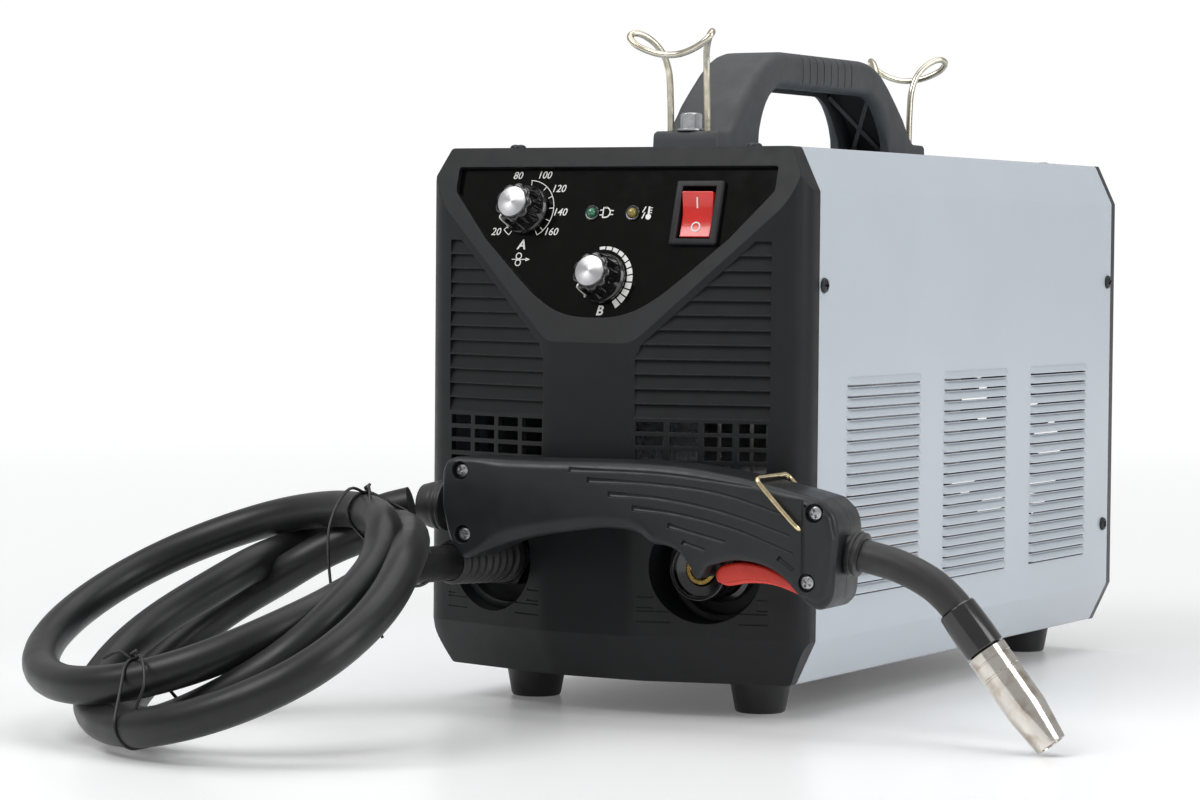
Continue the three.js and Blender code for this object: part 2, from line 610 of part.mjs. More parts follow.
// Folding wire loop for hanging the torch.
function torchHanger() {
  const half = [[187, 13.5, 96], [187, 17.5, 96], [184.5, 19, 98.5], [169, 19, 114.5], [165.6, 16.4, 119]];
  return tube([...half, ...half.map(([x, y, z]) => [x, -y, z]).reverse()], 1.15, 6, 28);
}

const torchBoot = () => turned([
  [0, -14], [8, -14], [8, 2], [11.8, 5], [12, 9], [10.4, 15], [9.6, 18], [0, 18],
], [6, 0, 98.6], [-1, 0, 0.02], 20);

const alongNozzle = (d) => [NECK_END[0] + d * Math.cos(NECK_DIP), 0, NECK_END[1] + d * Math.sin(NECK_DIP)];
const nozzleAxis = [Math.cos(NECK_DIP), 0, Math.sin(NECK_DIP)];

const torchNeck = () => tube([
  [184, 0, 90.3], [196, 0, 87.6], [207, 0, 85], [228, 0, 80], [243.5, 0, 72.8],
  alongNozzle(-11), alongNozzle(-5), alongNozzle(0.6),
], 7.4, 12, 16);

const neckCollar = () => ring(10.4, 7.8, 0, 4, [206.2, 0, 85.2], [0.975, 0, -0.22], 20);

const nozzleSleeve = () => turned([
  [0, 1], [7.8, 1], [7.8, -8], [8.4, -8], [9.2, 14], [7, 14.3], [7, 22], [0, 22],
], alongNozzle(0), nozzleAxis, 20);

const torchNozzle = () => turned([
  [7.4, 14.8], [9.3, 14.8], [9.3, 46], [7.1, 64.9], [5.8, 64.9], [7.4, 48], [7.4, 14.8],
], alongNozzle(0), nozzleAxis, 24);

const contactTip = () => turned(
  [[0, 22.4], [4, 22.4], [4, 56], [2.6, 61.5], [0, 61.5]], alongNozzle(0), nozzleAxis, 14);

// ---------- Torch lead ----------
// The lead leaves the strain relief, winds three turns and ends in the torch's boot.
const COIL = { x: -99, y: -170, z: 57, radius: 83, across: 23, thick: 15.5, lean: [-0.26, -0.46, 1] };

const leadOut = () => tube([
  [-RECESS_X, -47.4, RECESS_Z], [-RECESS_X, -54, RECESS_Z], [-56, -69, 72.5], [-52, -84, 73.5],
], CABLE_R, 10, 4);

const leadIn = () => tube([
  [-98, -58.8, 91.2], [-88, -50.8, 96.2], [-80, -47.6, 98.5], [-72.8, -46.9, 98.9],
], CABLE_R, 10, 4);

// Outer shape of the wound turns: a flattened ring, low at the front left and raised at the back right.
function leadCoil() {
  const section = Array.from({ length: 13 }, (_, i) => {
    const angle = (2 * Math.PI * i) / 12;
    return [COIL.radius + COIL.across * Math.cos(angle), COIL.thick * Math.sin(angle)];
  });
  return turned(section, [COIL.x, COIL.y, COIL.z], COIL.lean, 32);
}

// ---------- Assembly ----------
add(machine, 'front_panel', 'panel', frontPanel());
add(machine, 'control_plate', 'plate', controlPlate());
add(machine, 'cover', 'cover', cover());
add(machine, 'side_door', 'cover', sideDoor());
add(machine, 'door_latch', 'panel', doorLatch());
add(machine, 'base_plate', 'zinc', basePlate());
add(machine, 'rear_panel', 'panel', rearPanel());
for (const [row, y] of [['front', FOOT_Y[0]], ['rear', FOOT_Y[1]]]) {
  add(machine, `foot_${row}_left`, 'rubber', foot(-FOOT_X, y));
  add(machine, `foot_${row}_right`, 'rubber', foot(FOOT_X, y));
}
add(machine, 'carry_handle', 'grip', carryHandle());
for (const [end, side] of [['front', -1], ['rear', 1]]) {
  add(machine, `handle_bolt_${end}`, 'plate', handleBolt(side));
  add(machine, `torch_rest_${end}`, 'nickel', wireHook(side));
}
for (const [use, place] of [['current', KNOB_CURRENT], ['voltage', KNOB_VOLTAGE]]) {
  add(machine, `knob_${use}`, 'plate', knob(place));
  add(machine, `knob_${use}_cap`, 'aluminium', knobCap(place));
  add(machine, `potentiometer_${use}`, 'zinc', potentiometer(place));
}
add(machine, 'led_power', 'green', led(LED_POWER));
add(machine, 'led_fault', 'amber', led(LED_FAULT));
add(machine, 'switch_body', 'plate', switchBody());
add(machine, 'switch_rocker', 'red', switchRocker());
add(machine, 'socket_collar', 'rubber', socketCollar());
add(machine, 'socket_insert', 'brass', socketInsert());
add(machine, 'gland_nut', 'rubber', glandNut());
add(machine, 'mains_gland', 'rubber', mainsGland());

add(machine, 'main_board', 'board', mainBoard());
add(machine, 'heat_sink', 'aluminium', heatSink());
add(machine, 'transformer', 'copper', transformer());
add(machine, 'fan_frame', 'panel', fanFrame());
add(machine, 'fan_rotor', 'panel', fanRotor());
add(machine, 'divider_wall', 'zinc', dividerWall());
add(machine, 'spool_spindle', 'spool', spoolSpindle());
add(machine, 'wire_spool', 'spool', wireSpool());
add(machine, 'welding_wire', 'copper', weldingWire());
add(machine, 'feed_motor', 'steel', feedMotor());
add(machine, 'drive_roll', 'steel', driveRoll());
add(machine, 'pressure_arm', 'aluminium', pressureArm());
add(machine, 'pressure_roll', 'steel', pressureRoll());
add(machine, 'tension_knob', 'spool', tensionKnob());
add(machine, 'wire_guide', 'brass', wireGuide());

add(torch, 'torch_half_front', 'torch', torchHalf(-1));
add(torch, 'torch_half_back', 'torch', torchHalf(1));
add(torch, 'torch_trigger', 'red', torchTrigger());
add(torch, 'trigger_switch', 'panel', triggerSwitch());
add(torch, 'torch_hanger', 'brass', torchHanger());
add(torch, 'torch_boot', 'rubber', torchBoot());
add(torch, 'torch_neck', 'rubber', torchNeck());
add(torch, 'neck_collar', 'rubber', neckCollar());
add(torch, 'nozzle_sleeve', 'rubber', nozzleSleeve());
add(torch, 'torch_nozzle', 'nickel', torchNozzle());
add(torch, 'contact_tip', 'copper', contactTip());

add(lead, 'strain_relief', 'rubber', strainRelief());
add(lead, 'cable_lead_out', 'rubber', leadOut());
add(lead, 'cable_coil', 'rubber', leadCoil());
add(lead, 'cable_lead_in', 'rubber', leadIn());

// The origin is the bottom centre of the machine and torch together.
machine.updateMatrixWorld(true);
torch.updateMatrixWorld(true);
const reach = new THREE.Box3().setFromObject(machine, true);
reach.union(new THREE.Box3().setFromObject(torch, true));
const welder = new THREE.Group();
welder.add(machine, torch, lead);
welder.position.set(-(reach.min.x + reach.max.x) / 2, -(reach.min.y + reach.max.y) / 2, -reach.min.z);

export default welder;
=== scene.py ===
"""A compact wire-feed welder on four rubber feet, with its torch, coiled lead and two wire torch rests.

Shapes are drawn in millimetres in the machine's own frame (x across, y to the back, z up, origin on the
floor under the middle of the front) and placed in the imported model's frame in metres.
"""
import math

import bmesh
import bpy
import numpy as np
from mathutils import Matrix, Vector


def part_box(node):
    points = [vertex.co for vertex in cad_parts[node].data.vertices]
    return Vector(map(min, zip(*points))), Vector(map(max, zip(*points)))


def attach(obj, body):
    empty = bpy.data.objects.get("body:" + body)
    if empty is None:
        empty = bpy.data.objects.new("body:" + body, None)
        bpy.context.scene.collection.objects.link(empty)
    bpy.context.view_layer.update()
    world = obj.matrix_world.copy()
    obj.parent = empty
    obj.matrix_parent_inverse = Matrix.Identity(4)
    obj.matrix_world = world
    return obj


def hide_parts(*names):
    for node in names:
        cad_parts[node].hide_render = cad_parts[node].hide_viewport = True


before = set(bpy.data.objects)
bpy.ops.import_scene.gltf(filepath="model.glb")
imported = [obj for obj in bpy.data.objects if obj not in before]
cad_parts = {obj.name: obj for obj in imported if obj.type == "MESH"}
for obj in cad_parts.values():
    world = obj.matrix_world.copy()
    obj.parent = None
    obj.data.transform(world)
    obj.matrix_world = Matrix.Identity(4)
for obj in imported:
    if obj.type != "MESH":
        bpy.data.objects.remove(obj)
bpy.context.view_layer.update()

# ---------------------------------------------------------------- driving dimensions, mm
COVER_FRONT = 19.3
cover_low, cover_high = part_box("cover")
ORIGIN = Vector(((cover_low.x + cover_high.x) / 2, cover_low.y - COVER_FRONT / 1000, 0))

CASE_HALF, CASE_BOTTOM, CASE_TOP = 102.5, 17.0, 269.0
CHAMFER_X, CHAMFER_Z = 10.0, 21.0
JOINT_Y, COVER_REAR = 19.0, 388.6
SHEET, WALL = 1.5, 3.0
STRIP_HALF, STRIP_Y = 23.2, -17.5
SLOPE = math.radians(15.5)
LEAN = math.radians(16.5)
LEAN_FOOT_Z = 176.3
RECESS_X, RECESS_Z, RECESS_R, RECESS_FLOOR = 58.0, 72.0, 26.0, 13.0
PLATE_N = -3.3
KNOBS = {"current": (-47.0, 66.0), "voltage": (1.3, 32.0)}
LEDS = {"power": (-10.5, 64.8), "fault": (11.5, 64.8)}
SWITCH = (46.5, 64.6)
SWITCH_REST = math.radians(9)
SWITCH_PIVOT = -7.0
POINTER_ANGLE = math.radians(232)
HANDLE_Y, HANDLE_HALF = 201.0, 18.0
BOLT_Y, HOOK_Y, HOOK_WIRE = 117.0, 119.3, 1.65
LOUVRE_COLUMNS = ((51, 134), (164, 243), (276, 353))
LOUVRE_ROWS, LOUVRE_Z, LOUVRE_PITCH = 20, 59.0, 5.25
DOOR_Y, DOOR_Z = (45, 345), (45, 240)
LEAD_D = 17.0
TORCH_HALF = 16.5
NECK_END, NECK_DIP = (260.1, 0.0, 56.0), math.radians(-52.2)
CAMERA_PLACE, CAMERA_LENS = (837.17, -1499.94, 218.11), 108.6
CAMERA_TURN, CAMERA_RISE, CAMERA_ROLL = math.radians(29.262), math.radians(2.311), math.radians(0.495)


# ---------------------------------------------------------------- frames
def axes(x, y, z, at):
    """A matrix whose columns are three directions and a place."""
    m = Matrix((x, y, z)).transposed().to_4x4()
    m.translation = Vector(at)
    return m


def aim(at, direction, twist=0.0):
    """A frame at a point whose z axis runs along a direction."""
    turn = Vector(direction).normalized().to_track_quat("Z", "Y").to_matrix().to_4x4()
    return Matrix.Translation(Vector(at)) @ turn @ Matrix.Rotation(twist, 4, "Z")


FACET = axes(
    (1, 0, 0),
    (0, math.sin(LEAN), math.cos(LEAN)),
    (0, -math.cos(LEAN), math.sin(LEAN)),
    (0, STRIP_Y, LEAN_FOOT_Z),
)
TORCH = Matrix.Translation((-60, -46, 0)) @ Matrix.Rotation(math.radians(4), 4, "Z")
DEPTH_UP = axes((1, 0, 0), (0, 0, 1), (0, -1, 0), (0, 0, 0))  # local (u, v, n) to (x, z, -y)
SIDEWAYS = axes((0, 1, 0), (0, 0, 1), (1, 0, 0), (0, 0, 0))  # local (u, v, n) to (y, z, x)


def slope_frame(side):
    """The frame of one sloping side of the front panel: along it, up, and out of it."""
    across = (math.cos(SLOPE), side * math.sin(SLOPE), 0)
    out = (side * math.sin(SLOPE), -math.cos(SLOPE), 0)
    return axes(across, (0, 0, 1), out, (side * STRIP_HALF, STRIP_Y, 0))


# ---------------------------------------------------------------- mesh building, mm
def placed(name, data):
    """A new object in the scene."""
    obj = bpy.data.objects.new(name, data)
    bpy.context.scene.collection.objects.link(obj)
    return obj


def lathe(profile, segments=56, flute=None):
    """A closed body turned about z from (radius, height) points. flute(height, angle) scales the radius."""
    profile = [tuple(map(float, p)) for p in profile]
    first, last = profile[0][0] < 1e-6, profile[-1][0] < 1e-6
    if first and not last:
        profile.append((0.0, profile[-1][1]))
    if last and not first:
        profile.insert(0, (0.0, profile[0][1]))
    on_axis = profile[0][0] < 1e-6
    bm = bmesh.new()
    rings = []
    for r, t in profile:
        if r < 1e-6:
            rings.append([bm.verts.new((0, 0, t))] * segments)
            continue
        ring = []
        for k in range(segments):
            a = 2 * math.pi * k / segments
            s = flute(t, a) if flute else 1.0
            ring.append(bm.verts.new((r * s * math.cos(a), r * s * math.sin(a), t)))
        rings.append(ring)
    pairs = list(zip(rings, rings[1:])) + ([] if on_axis else [(rings[-1], rings[0])])
    for a, b in pairs:
        for k in range(segments):
            j = (k + 1) % segments
            corners = list(dict.fromkeys((a[k], a[j], b[j], b[k])))
            if len(corners) > 2:
                bm.faces.new(corners)
    return outward(bm)


def prism(outline, low, high):
    """A straight prism along z over an outline of (u, v) points."""
    return stack([[(u, v, low) for u, v in outline], [(u, v, high) for u, v in outline]])


def stack(sections):
    """A body through closed sections with equal numbers of points, capped at both ends."""
    bm = bmesh.new()
    rings = [[bm.verts.new(p) for p in section] for section in sections]
    count = len(rings[0])
    for a, b in zip(rings, rings[1:]):
        for k in range(count):
            j = (k + 1) % count
            bm.faces.new((a[k], a[j], b[j], b[k]))
    bm.faces.new(rings[0][::-1])
    bm.faces.new(rings[-1])
    return outward(bm)


def rod(radius, low, high, segments):
    """A plain round bar along z."""
    return lathe([(0, low), (radius, low), (radius, high), (0, high)], segments)


def hexagon(radius, turn=0):
    """Six corners on a circle, turned by degrees."""
    corners = (math.radians(60 * k + turn) for k in range(6))
    return [(radius * math.cos(a), radius * math.sin(a)) for a in corners]


def block(x0, x1, y0, y1, z0, z1):
    """A box between two corners."""
    return prism([(x0, y0), (x1, y0), (x1, y1), (x0, y1)], z0, z1)


def spline(points, count):
    """Points evenly spread along a smooth line through the given ones."""
    p = np.array(points, float)
    knots = np.r_[0, np.cumsum(np.sqrt(np.linalg.norm(np.diff(p, axis=0), axis=1)))]
    ends = np.vstack([2 * p[0] - p[1], p, 2 * p[-1] - p[-2]])
    outer = np.r_[2 * knots[0] - knots[1], knots, 2 * knots[-1] - knots[-2]]
    fine = []
    for i in range(len(p) - 1):
        t0, t1, t2, t3 = outer[i : i + 4]
        p0, p1, p2, p3 = ends[i : i + 4]
        for t in np.linspace(t1, t2, 24, endpoint=False):
            a1 = (t1 - t) / (t1 - t0) * p0 + (t - t0) / (t1 - t0) * p1
            a2 = (t2 - t) / (t2 - t1) * p1 + (t - t1) / (t2 - t1) * p2
            a3 = (t3 - t) / (t3 - t2) * p2 + (t - t2) / (t3 - t2) * p3
            b1 = (t2 - t) / (t2 - t0) * a1 + (t - t0) / (t2 - t0) * a2
            b2 = (t3 - t) / (t3 - t1) * a2 + (t - t1) / (t3 - t1) * a3
            fine.append((t2 - t) / (t2 - t1) * b1 + (t - t1) / (t2 - t1) * b2)
    fine = np.array(fine + [p[-1]])
    return even(fine, count)


def even(p, count):
    """The same line cut into equal steps."""
    s = np.r_[0, np.cumsum(np.linalg.norm(np.diff(p, axis=0), axis=1))]
    at = np.linspace(0, s[-1], count)
    return np.stack([np.interp(at, s, p[:, k]) for k in range(p.shape[1])], 1)


def tube(points, radius, sides=20):
    """A round bar along points, with closed ends. radius is a number or one number for each point."""
    pts = [Vector(p) for p in points]
    radii = [radius] * len(pts) if isinstance(radius, (int, float)) else list(radius)
    tangents = []
    for i in range(len(pts)):
        tangents.append((pts[min(i + 1, len(pts) - 1)] - pts[max(i - 1, 0)]).normalized())
    normal = tangents[0].orthogonal().normalized()
    sections = []
    for p, t, r in zip(pts, tangents, radii):
        normal = (normal - t * normal.dot(t)).normalized()
        side = t.cross(normal)
        sections.append(
            [
                p + r * (math.cos(a) * normal + math.sin(a) * side)
                for a in (2 * math.pi * k / sides for k in range(sides))
            ]
        )
    return stack(sections)


def slab(outline, half, radius, low=None, steps=6):
    """A flat body over an outline, with rounded edges on its top face and, unless low is given, its bottom.

    radius is a number or a function of a point. The body runs from low (or -half) to half along z."""
    p = np.array(outline, float)
    area = np.sum(p[:, 0] * np.roll(p[:, 1], -1) - np.roll(p[:, 0], -1) * p[:, 1])
    p = p if area > 0 else p[::-1]
    run = np.roll(p, -1, 0) - np.roll(p, 1, 0)
    run /= np.linalg.norm(run, axis=1)[:, None]
    inward = np.stack([-run[:, 1], run[:, 0]], 1)
    size = np.array([radius(*q) if callable(radius) else radius for q in p])
    for _ in range(12):
        size = (np.roll(size, 1) + 2 * size + np.roll(size, -1)) / 4
    top = []
    for k in range(steps + 1):
        a = math.pi / 2 * k / steps
        flat = p + inward * (size * (1 - math.cos(a)))[:, None]
        z = half - size * (1 - math.sin(a))
        top.append([(*q, h) for q, h in zip(flat, z)])
    if low is None:
        bottom = [[(x, y, -z) for x, y, z in ring] for ring in reversed(top)]
    else:
        bottom = [[(x, y, low) for x, y in p]]
    return stack(bottom + top)


def merged(*bodies):
    """Several separate bodies in one mesh."""
    out = bmesh.new()
    for body in bodies:
        mesh = bpy.data.meshes.new("part")
        body.to_mesh(mesh)
        out.from_mesh(mesh)
        bpy.data.meshes.remove(mesh)
        body.free()
    return out


def moved(bm, matrix):
    bm.transform(matrix)
    return bm


def outward(bm):
    """The same closed body with its faces turned outwards."""
    bmesh.ops.recalc_face_normals(bm, faces=bm.faces)
    if bm.calc_volume(signed=True) < 0:
        bmesh.ops.reverse_faces(bm, faces=bm.faces)
    return bm


def scratch(bm):
    """A short-lived object that holds a body, for its modifiers."""
    mesh = bpy.data.meshes.new("scratch")
    bm.to_mesh(mesh)
    bm.free()
    return placed("scratch", mesh)


def evaluated(obj, *others):
    """What an object's modifiers make of it, as a new mesh builder. The objects are removed."""
    bpy.context.view_layer.update()
    deps = bpy.context.evaluated_depsgraph_get()
    mesh = bpy.data.meshes.new_from_object(obj.evaluated_get(deps))
    bm = bmesh.new()
    bm.from_mesh(mesh)
    bpy.data.meshes.remove(mesh)
    for o in (obj, *others):
        mesh = o.data
        bpy.data.objects.remove(o)
        bpy.data.meshes.remove(mesh)
    return bm


def boolean(base, tool, operation="DIFFERENCE"):
    """One body cut by, joined to or kept within another. A result of the wrong volume is tried again with
    the tool moved by microns, which parts faces that touch."""
    size, other = base.calc_volume(), tool.calc_volume()
    least, most = {
        "DIFFERENCE": (size - other, size),
        "UNION": (max(size, other), size + other),
        "INTERSECT": (0, min(size, other)),
    }[operation]
    for attempt, shift in enumerate((0, 0.004, -0.009, 0.017, -0.031)):
        blank, cutter = base.copy(), moved(tool.copy(), Matrix.Translation((shift, shift * 0.7, shift * 1.3)))
        if attempt > 1:
            bmesh.ops.triangulate(blank, faces=blank.faces)
        a, b = scratch(blank), scratch(cutter)
        m = a.modifiers.new("boolean", "BOOLEAN")
        m.operation, m.object = operation, b
        m.solver = "EXACT" if attempt % 2 else "MANIFOLD"
        result = evaluated(a, b)
        volume = result.calc_volume(signed=True)
        if least - 1e-3 * size <= volume <= most + 1e-3 * size and volume > 0:
            base.free()
            tool.free()
            return result
        result.free()
    raise RuntimeError(f"a {operation} failed: {size:.0f} and {other:.0f} mm3")


def put(name, bm, material, at=None, body="case", replaces=(), bevel=0.0, segments=2, smooth=32):
    """A finished piece: its mesh in millimetres, its frame, its material, and the body that it rides on."""
    at = Matrix() if at is None else at
    bmesh.ops.remove_doubles(bm, verts=bm.verts, dist=1e-4)
    bm.transform(Matrix.Scale(0.001, 4))
    mesh = bpy.data.meshes.new(name)
    bm.to_mesh(mesh)
    bm.free()
    obj = placed(name, mesh)
    loc, rot, _ = at.decompose()
    obj.matrix_world = Matrix.LocRotScale(ORIGIN + loc * 0.001, rot, None)
    mesh.materials.append(material)
    mesh.shade_smooth()
    mesh.set_sharp_from_angle(angle=math.radians(smooth))
    if bevel:
        m = obj.modifiers.new("edge", "BEVEL")
        m.width, m.segments, m.limit_method = bevel * 0.001, segments, "ANGLE"
        m.angle_limit = math.radians(smooth)
        m.harden_normals = True
    bpy.context.view_layer.update()
    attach(obj, body)
    if replaces:
        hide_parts(*([replaces] if isinstance(replaces, str) else replaces))
    return obj


def finish(
    name, slot, base, rough, metal=0.0, grain=0.5, depth=0.02, mottle=0.10, patch=18.0,
    wear=None, wear_amount=0.4, stain=None, stain_amount=0.0, spread=0.06, **socket
):
    """A procedural finish. base is a colour, grain and patch are sizes in mm, depth is the bump in mm.

    mottle varies the colour, spread varies the roughness, wear is the colour of rubbed edges, and stain is a
    second colour laid on in soft patches. Without wear the edges are left as they are. Further keywords are
    the shader's own sockets, with _ for each space."""
    m = bpy.data.materials.new(name)
    m.use_nodes = True
    tree = m.node_tree
    new, link = tree.nodes.new, tree.links.new
    shader = tree.nodes["Principled BSDF"]
    shader.inputs["Metallic"].default_value = metal
    for key, value in socket.items():
        shader.inputs[key.replace("_", " ")].default_value = value
    where = new("ShaderNodeTexCoord").outputs["Object"]

    def noise(size, detail=3.0):
        n = new("ShaderNodeTexNoise")
        n.inputs["Scale"].default_value = 1000.0 / size
        n.inputs["Detail"].default_value = detail
        link(where, n.inputs["Vector"])
        return n.outputs["Fac"]

    def span(value, low, high, to_low, to_high):
        n = new("ShaderNodeMapRange")
        for i, x in zip(range(1, 5), (low, high, to_low, to_high)):
            n.inputs[i].default_value = x
        link(value, n.inputs[0])
        return n.outputs[0]

    def mix(factor, a, b):
        n = new("ShaderNodeMix")
        n.data_type = "RGBA"
        link(factor, n.inputs[0])
        for socket_in, colour in ((n.inputs[6], a), (n.inputs[7], b)):
            if isinstance(colour, tuple):
                socket_in.default_value = (*colour, 1)
            else:
                link(colour, socket_in)
        return n.outputs[2]

    dark = tuple(c * (1 - mottle) for c in base)
    light = tuple(min(1, c * (1 + mottle)) for c in base)
    colour = mix(span(noise(patch), 0.35, 0.65, 0, 1), dark, light)
    if stain:
        colour = mix(span(noise(patch * 0.7, 6), 0.5, 0.75, 0, stain_amount), colour, stain)
    if wear:
        bevel = new("ShaderNodeBevel")
        bevel.samples = 4
        bevel.inputs["Radius"].default_value = 0.0005
        dot = new("ShaderNodeVectorMath")
        dot.operation = "DOT_PRODUCT"
        link(bevel.outputs[0], dot.inputs[0])
        link(new("ShaderNodeNewGeometry").outputs["Normal"], dot.inputs[1])
        edge = span(dot.outputs["Value"], 0.985, 0.90, 0, wear_amount)
        times = new("ShaderNodeMath")
        times.operation = "MULTIPLY"
        link(edge, times.inputs[0])
        link(span(noise(4.0, 5), 0.42, 0.62, 0.15, 1), times.inputs[1])
        colour = mix(times.outputs[0], colour, wear)
    link(colour, shader.inputs["Base Color"])
    link(span(noise(patch * 0.4, 5), 0.3, 0.7, rough - spread, rough + spread), shader.inputs["Roughness"])
    bump = new("ShaderNodeBump")
    bump.inputs["Strength"].default_value = 0.6
    bump.inputs["Distance"].default_value = depth / 1000
    link(noise(grain, 4), bump.inputs["Height"])
    if wear:
        link(bevel.outputs[0], bump.inputs["Normal"])
    link(bump.outputs[0], shader.inputs["Normal"])
    return m


PANEL = finish("panel plastic", "panel_black", (0.0085, 0.009, 0.0102), 0.40, grain=0.55, depth=0.05,
               wear=(0.05, 0.052, 0.055), wear_amount=0.4, Specular_IOR_Level=0.26)
PLATE = finish("plate acrylic", "plate_black", (0.0035, 0.0032, 0.003), 0.10, grain=6, depth=0.004,
               spread=0.03, Specular_IOR_Level=0.12)
COVER = finish("cover paint", "cover_grey", (0.44, 0.485, 0.535), 0.26, grain=2.4, depth=0.0012, mottle=0.012,
               patch=60, spread=0.012, Coat_Weight=0.2, Coat_Roughness=0.12)
GRIP = finish("handle plastic", "grip_grey", (0.043, 0.047, 0.051), 0.55, grain=0.7, depth=0.10,
              wear=(0.12, 0.125, 0.13))
TORCHY = finish("torch plastic", "torch_black", (0.0135, 0.0148, 0.0162), 0.38, grain=0.45, depth=0.045,
                wear=(0.06, 0.062, 0.065), wear_amount=0.4, Specular_IOR_Level=0.36)
RUBBER = finish("rubber", "rubber", (0.0078, 0.0078, 0.0082), 0.46, grain=0.9, depth=0.03,
                stain=(0.035, 0.035, 0.036), stain_amount=0.25, Sheen_Weight=0.15, Sheen_Roughness=0.5)
LEAD = finish("lead rubber", "cable_black", (0.0062, 0.0064, 0.0068), 0.38, grain=1.4, depth=0.03, patch=40,
              stain=(0.024, 0.024, 0.026), stain_amount=0.3, Sheen_Weight=0.06, Sheen_Roughness=0.45,
              Specular_IOR_Level=0.36)
KNOB = finish("knob phenolic", "knob_black", (0.006, 0.006, 0.0065), 0.16, grain=2, depth=0.01, spread=0.05,
              Coat_Weight=0.5, Coat_Roughness=0.08)
TIE = finish("tie plastic", "cable_black", (0.008, 0.008, 0.009), 0.35, grain=0.4, depth=0.02)
ROCKER = finish("rocker plastic", "rocker_red", (0.58, 0.012, 0.006), 0.16, grain=3, depth=0.008, mottle=0.06,
                spread=0.04, Coat_Weight=0.5, Coat_Roughness=0.06, Subsurface_Weight=0.08,
                Subsurface_Scale=0.002)
TRIGGER = finish("trigger plastic", "trigger_red", (0.62, 0.036, 0.020), 0.30, grain=1.0, depth=0.02,
                 mottle=0.08, wear=(0.75, 0.16, 0.12), Subsurface_Weight=0.06, Subsurface_Scale=0.002)
GREEN = finish("green lens", "led_green", (0.006, 0.13, 0.060), 0.12, grain=2, depth=0.01, mottle=0.35,
               patch=3,
               Coat_Weight=1.0, Coat_Roughness=0.04)
AMBER = finish("amber lens", "led_amber", (0.20, 0.15, 0.008), 0.12, grain=2, depth=0.01, mottle=0.35,
               patch=3,
               Coat_Weight=1.0, Coat_Roughness=0.04)
BRASS = finish("brass", "brass", (0.62, 0.42, 0.13), 0.26, 1.0, grain=0.5, depth=0.01, mottle=0.15, patch=9,
               stain=(0.34, 0.20, 0.06), stain_amount=0.5)
NICKEL = finish("polished nickel", "nickel", (0.66, 0.63, 0.58), 0.13, 1.0, grain=0.6, depth=0.004,
                mottle=0.06,
                patch=14, stain=(0.30, 0.22, 0.15), stain_amount=0.75, spread=0.07)
WIRE = finish("bright wire", "wire_nickel", (0.60, 0.56, 0.46), 0.20, 1.0, grain=0.5, depth=0.01, mottle=0.1,
              patch=8, stain=(0.32, 0.28, 0.20), stain_amount=0.5)
GOLD = finish("passivated wire", "wire_nickel", (0.66, 0.55, 0.34), 0.20, 1.0, grain=0.5, depth=0.01,
              mottle=0.1,
              patch=6, stain=(0.35, 0.27, 0.13), stain_amount=0.5)
COPPER = finish("copper", "copper", (0.62, 0.26, 0.14), 0.32, 1.0, grain=0.4, depth=0.02, mottle=0.15,
                patch=4,
                stain=(0.10, 0.05, 0.04), stain_amount=0.7)
ALUMINIUM = finish("aluminium", "aluminium", (0.74, 0.74, 0.75), 0.32, 1.0, grain=0.3, depth=0.01,
                   mottle=0.04)
STEEL = finish("steel", "steel", (0.42, 0.42, 0.43), 0.32, 1.0, grain=0.4, depth=0.012, mottle=0.1,
               stain=(0.2, 0.19, 0.18), stain_amount=0.4)
ZINC = finish("zinc plate", "zinc", (0.52, 0.53, 0.55), 0.30, 1.0, grain=1.2, depth=0.01, mottle=0.12,
              patch=5,
              stain=(0.34, 0.34, 0.33), stain_amount=0.5)
BLACK_STEEL = finish("black steel", "black_steel", (0.030, 0.031, 0.034), 0.30, 0.6, grain=0.5, depth=0.02,
                     wear=(0.25, 0.25, 0.26))
BOARD = finish("board", "board_green", (0.012, 0.085, 0.035), 0.35, grain=1.2, depth=0.03, mottle=0.25,
               patch=5)
SPOOL = finish("spool plastic", "spool_grey", (0.022, 0.024, 0.028), 0.4, grain=0.6, depth=0.04,
               wear=(0.07, 0.07, 0.075))
PRINT = finish("white print", "plate_black", (0.72, 0.72, 0.70), 0.45, grain=0.3, depth=0.004, mottle=0.05,
               patch=2)


def brushed_cap():
    """Radially brushed aluminium: fine turned rings and light that fans out from the middle."""
    m = finish("brushed cap", "aluminium", (0.50, 0.50, 0.51), 0.30, 1.0, grain=0.5, depth=0.0003,
               mottle=0.03, patch=3, spread=0.03, Anisotropic=0.85, Anisotropic_Rotation=0.25)
    tangent = m.node_tree.nodes.new("ShaderNodeTangent")
    tangent.direction_type, tangent.axis = "RADIAL", "Z"
    m.node_tree.links.new(tangent.outputs[0], m.node_tree.nodes["Principled BSDF"].inputs["Tangent"])
    return m


CAP = brushed_cap()


# ---------------------------------------------------------------- camera
def camera():
    """The photographer's view. Returns the direction from the object back to the camera."""
    level = math.cos(CAMERA_RISE)
    right = Vector((math.cos(CAMERA_TURN), math.sin(CAMERA_TURN), 0))
    back = Vector((math.sin(CAMERA_TURN) * level, -math.cos(CAMERA_TURN) * level, math.sin(CAMERA_RISE)))
    turned = right * math.cos(CAMERA_ROLL) + back.cross(right) * math.sin(CAMERA_ROLL)
    data = bpy.data.cameras.new("camera")
    data.lens, data.sensor_width = CAMERA_LENS, 36
    data.clip_start, data.clip_end = 0.05, 50
    obj = placed("camera", data)
    obj.matrix_world = axes(turned, back.cross(turned), back, ORIGIN + Vector(CAMERA_PLACE) * 0.001)
    bpy.context.scene.camera = obj
    return back


CAMERA_BACK = camera()

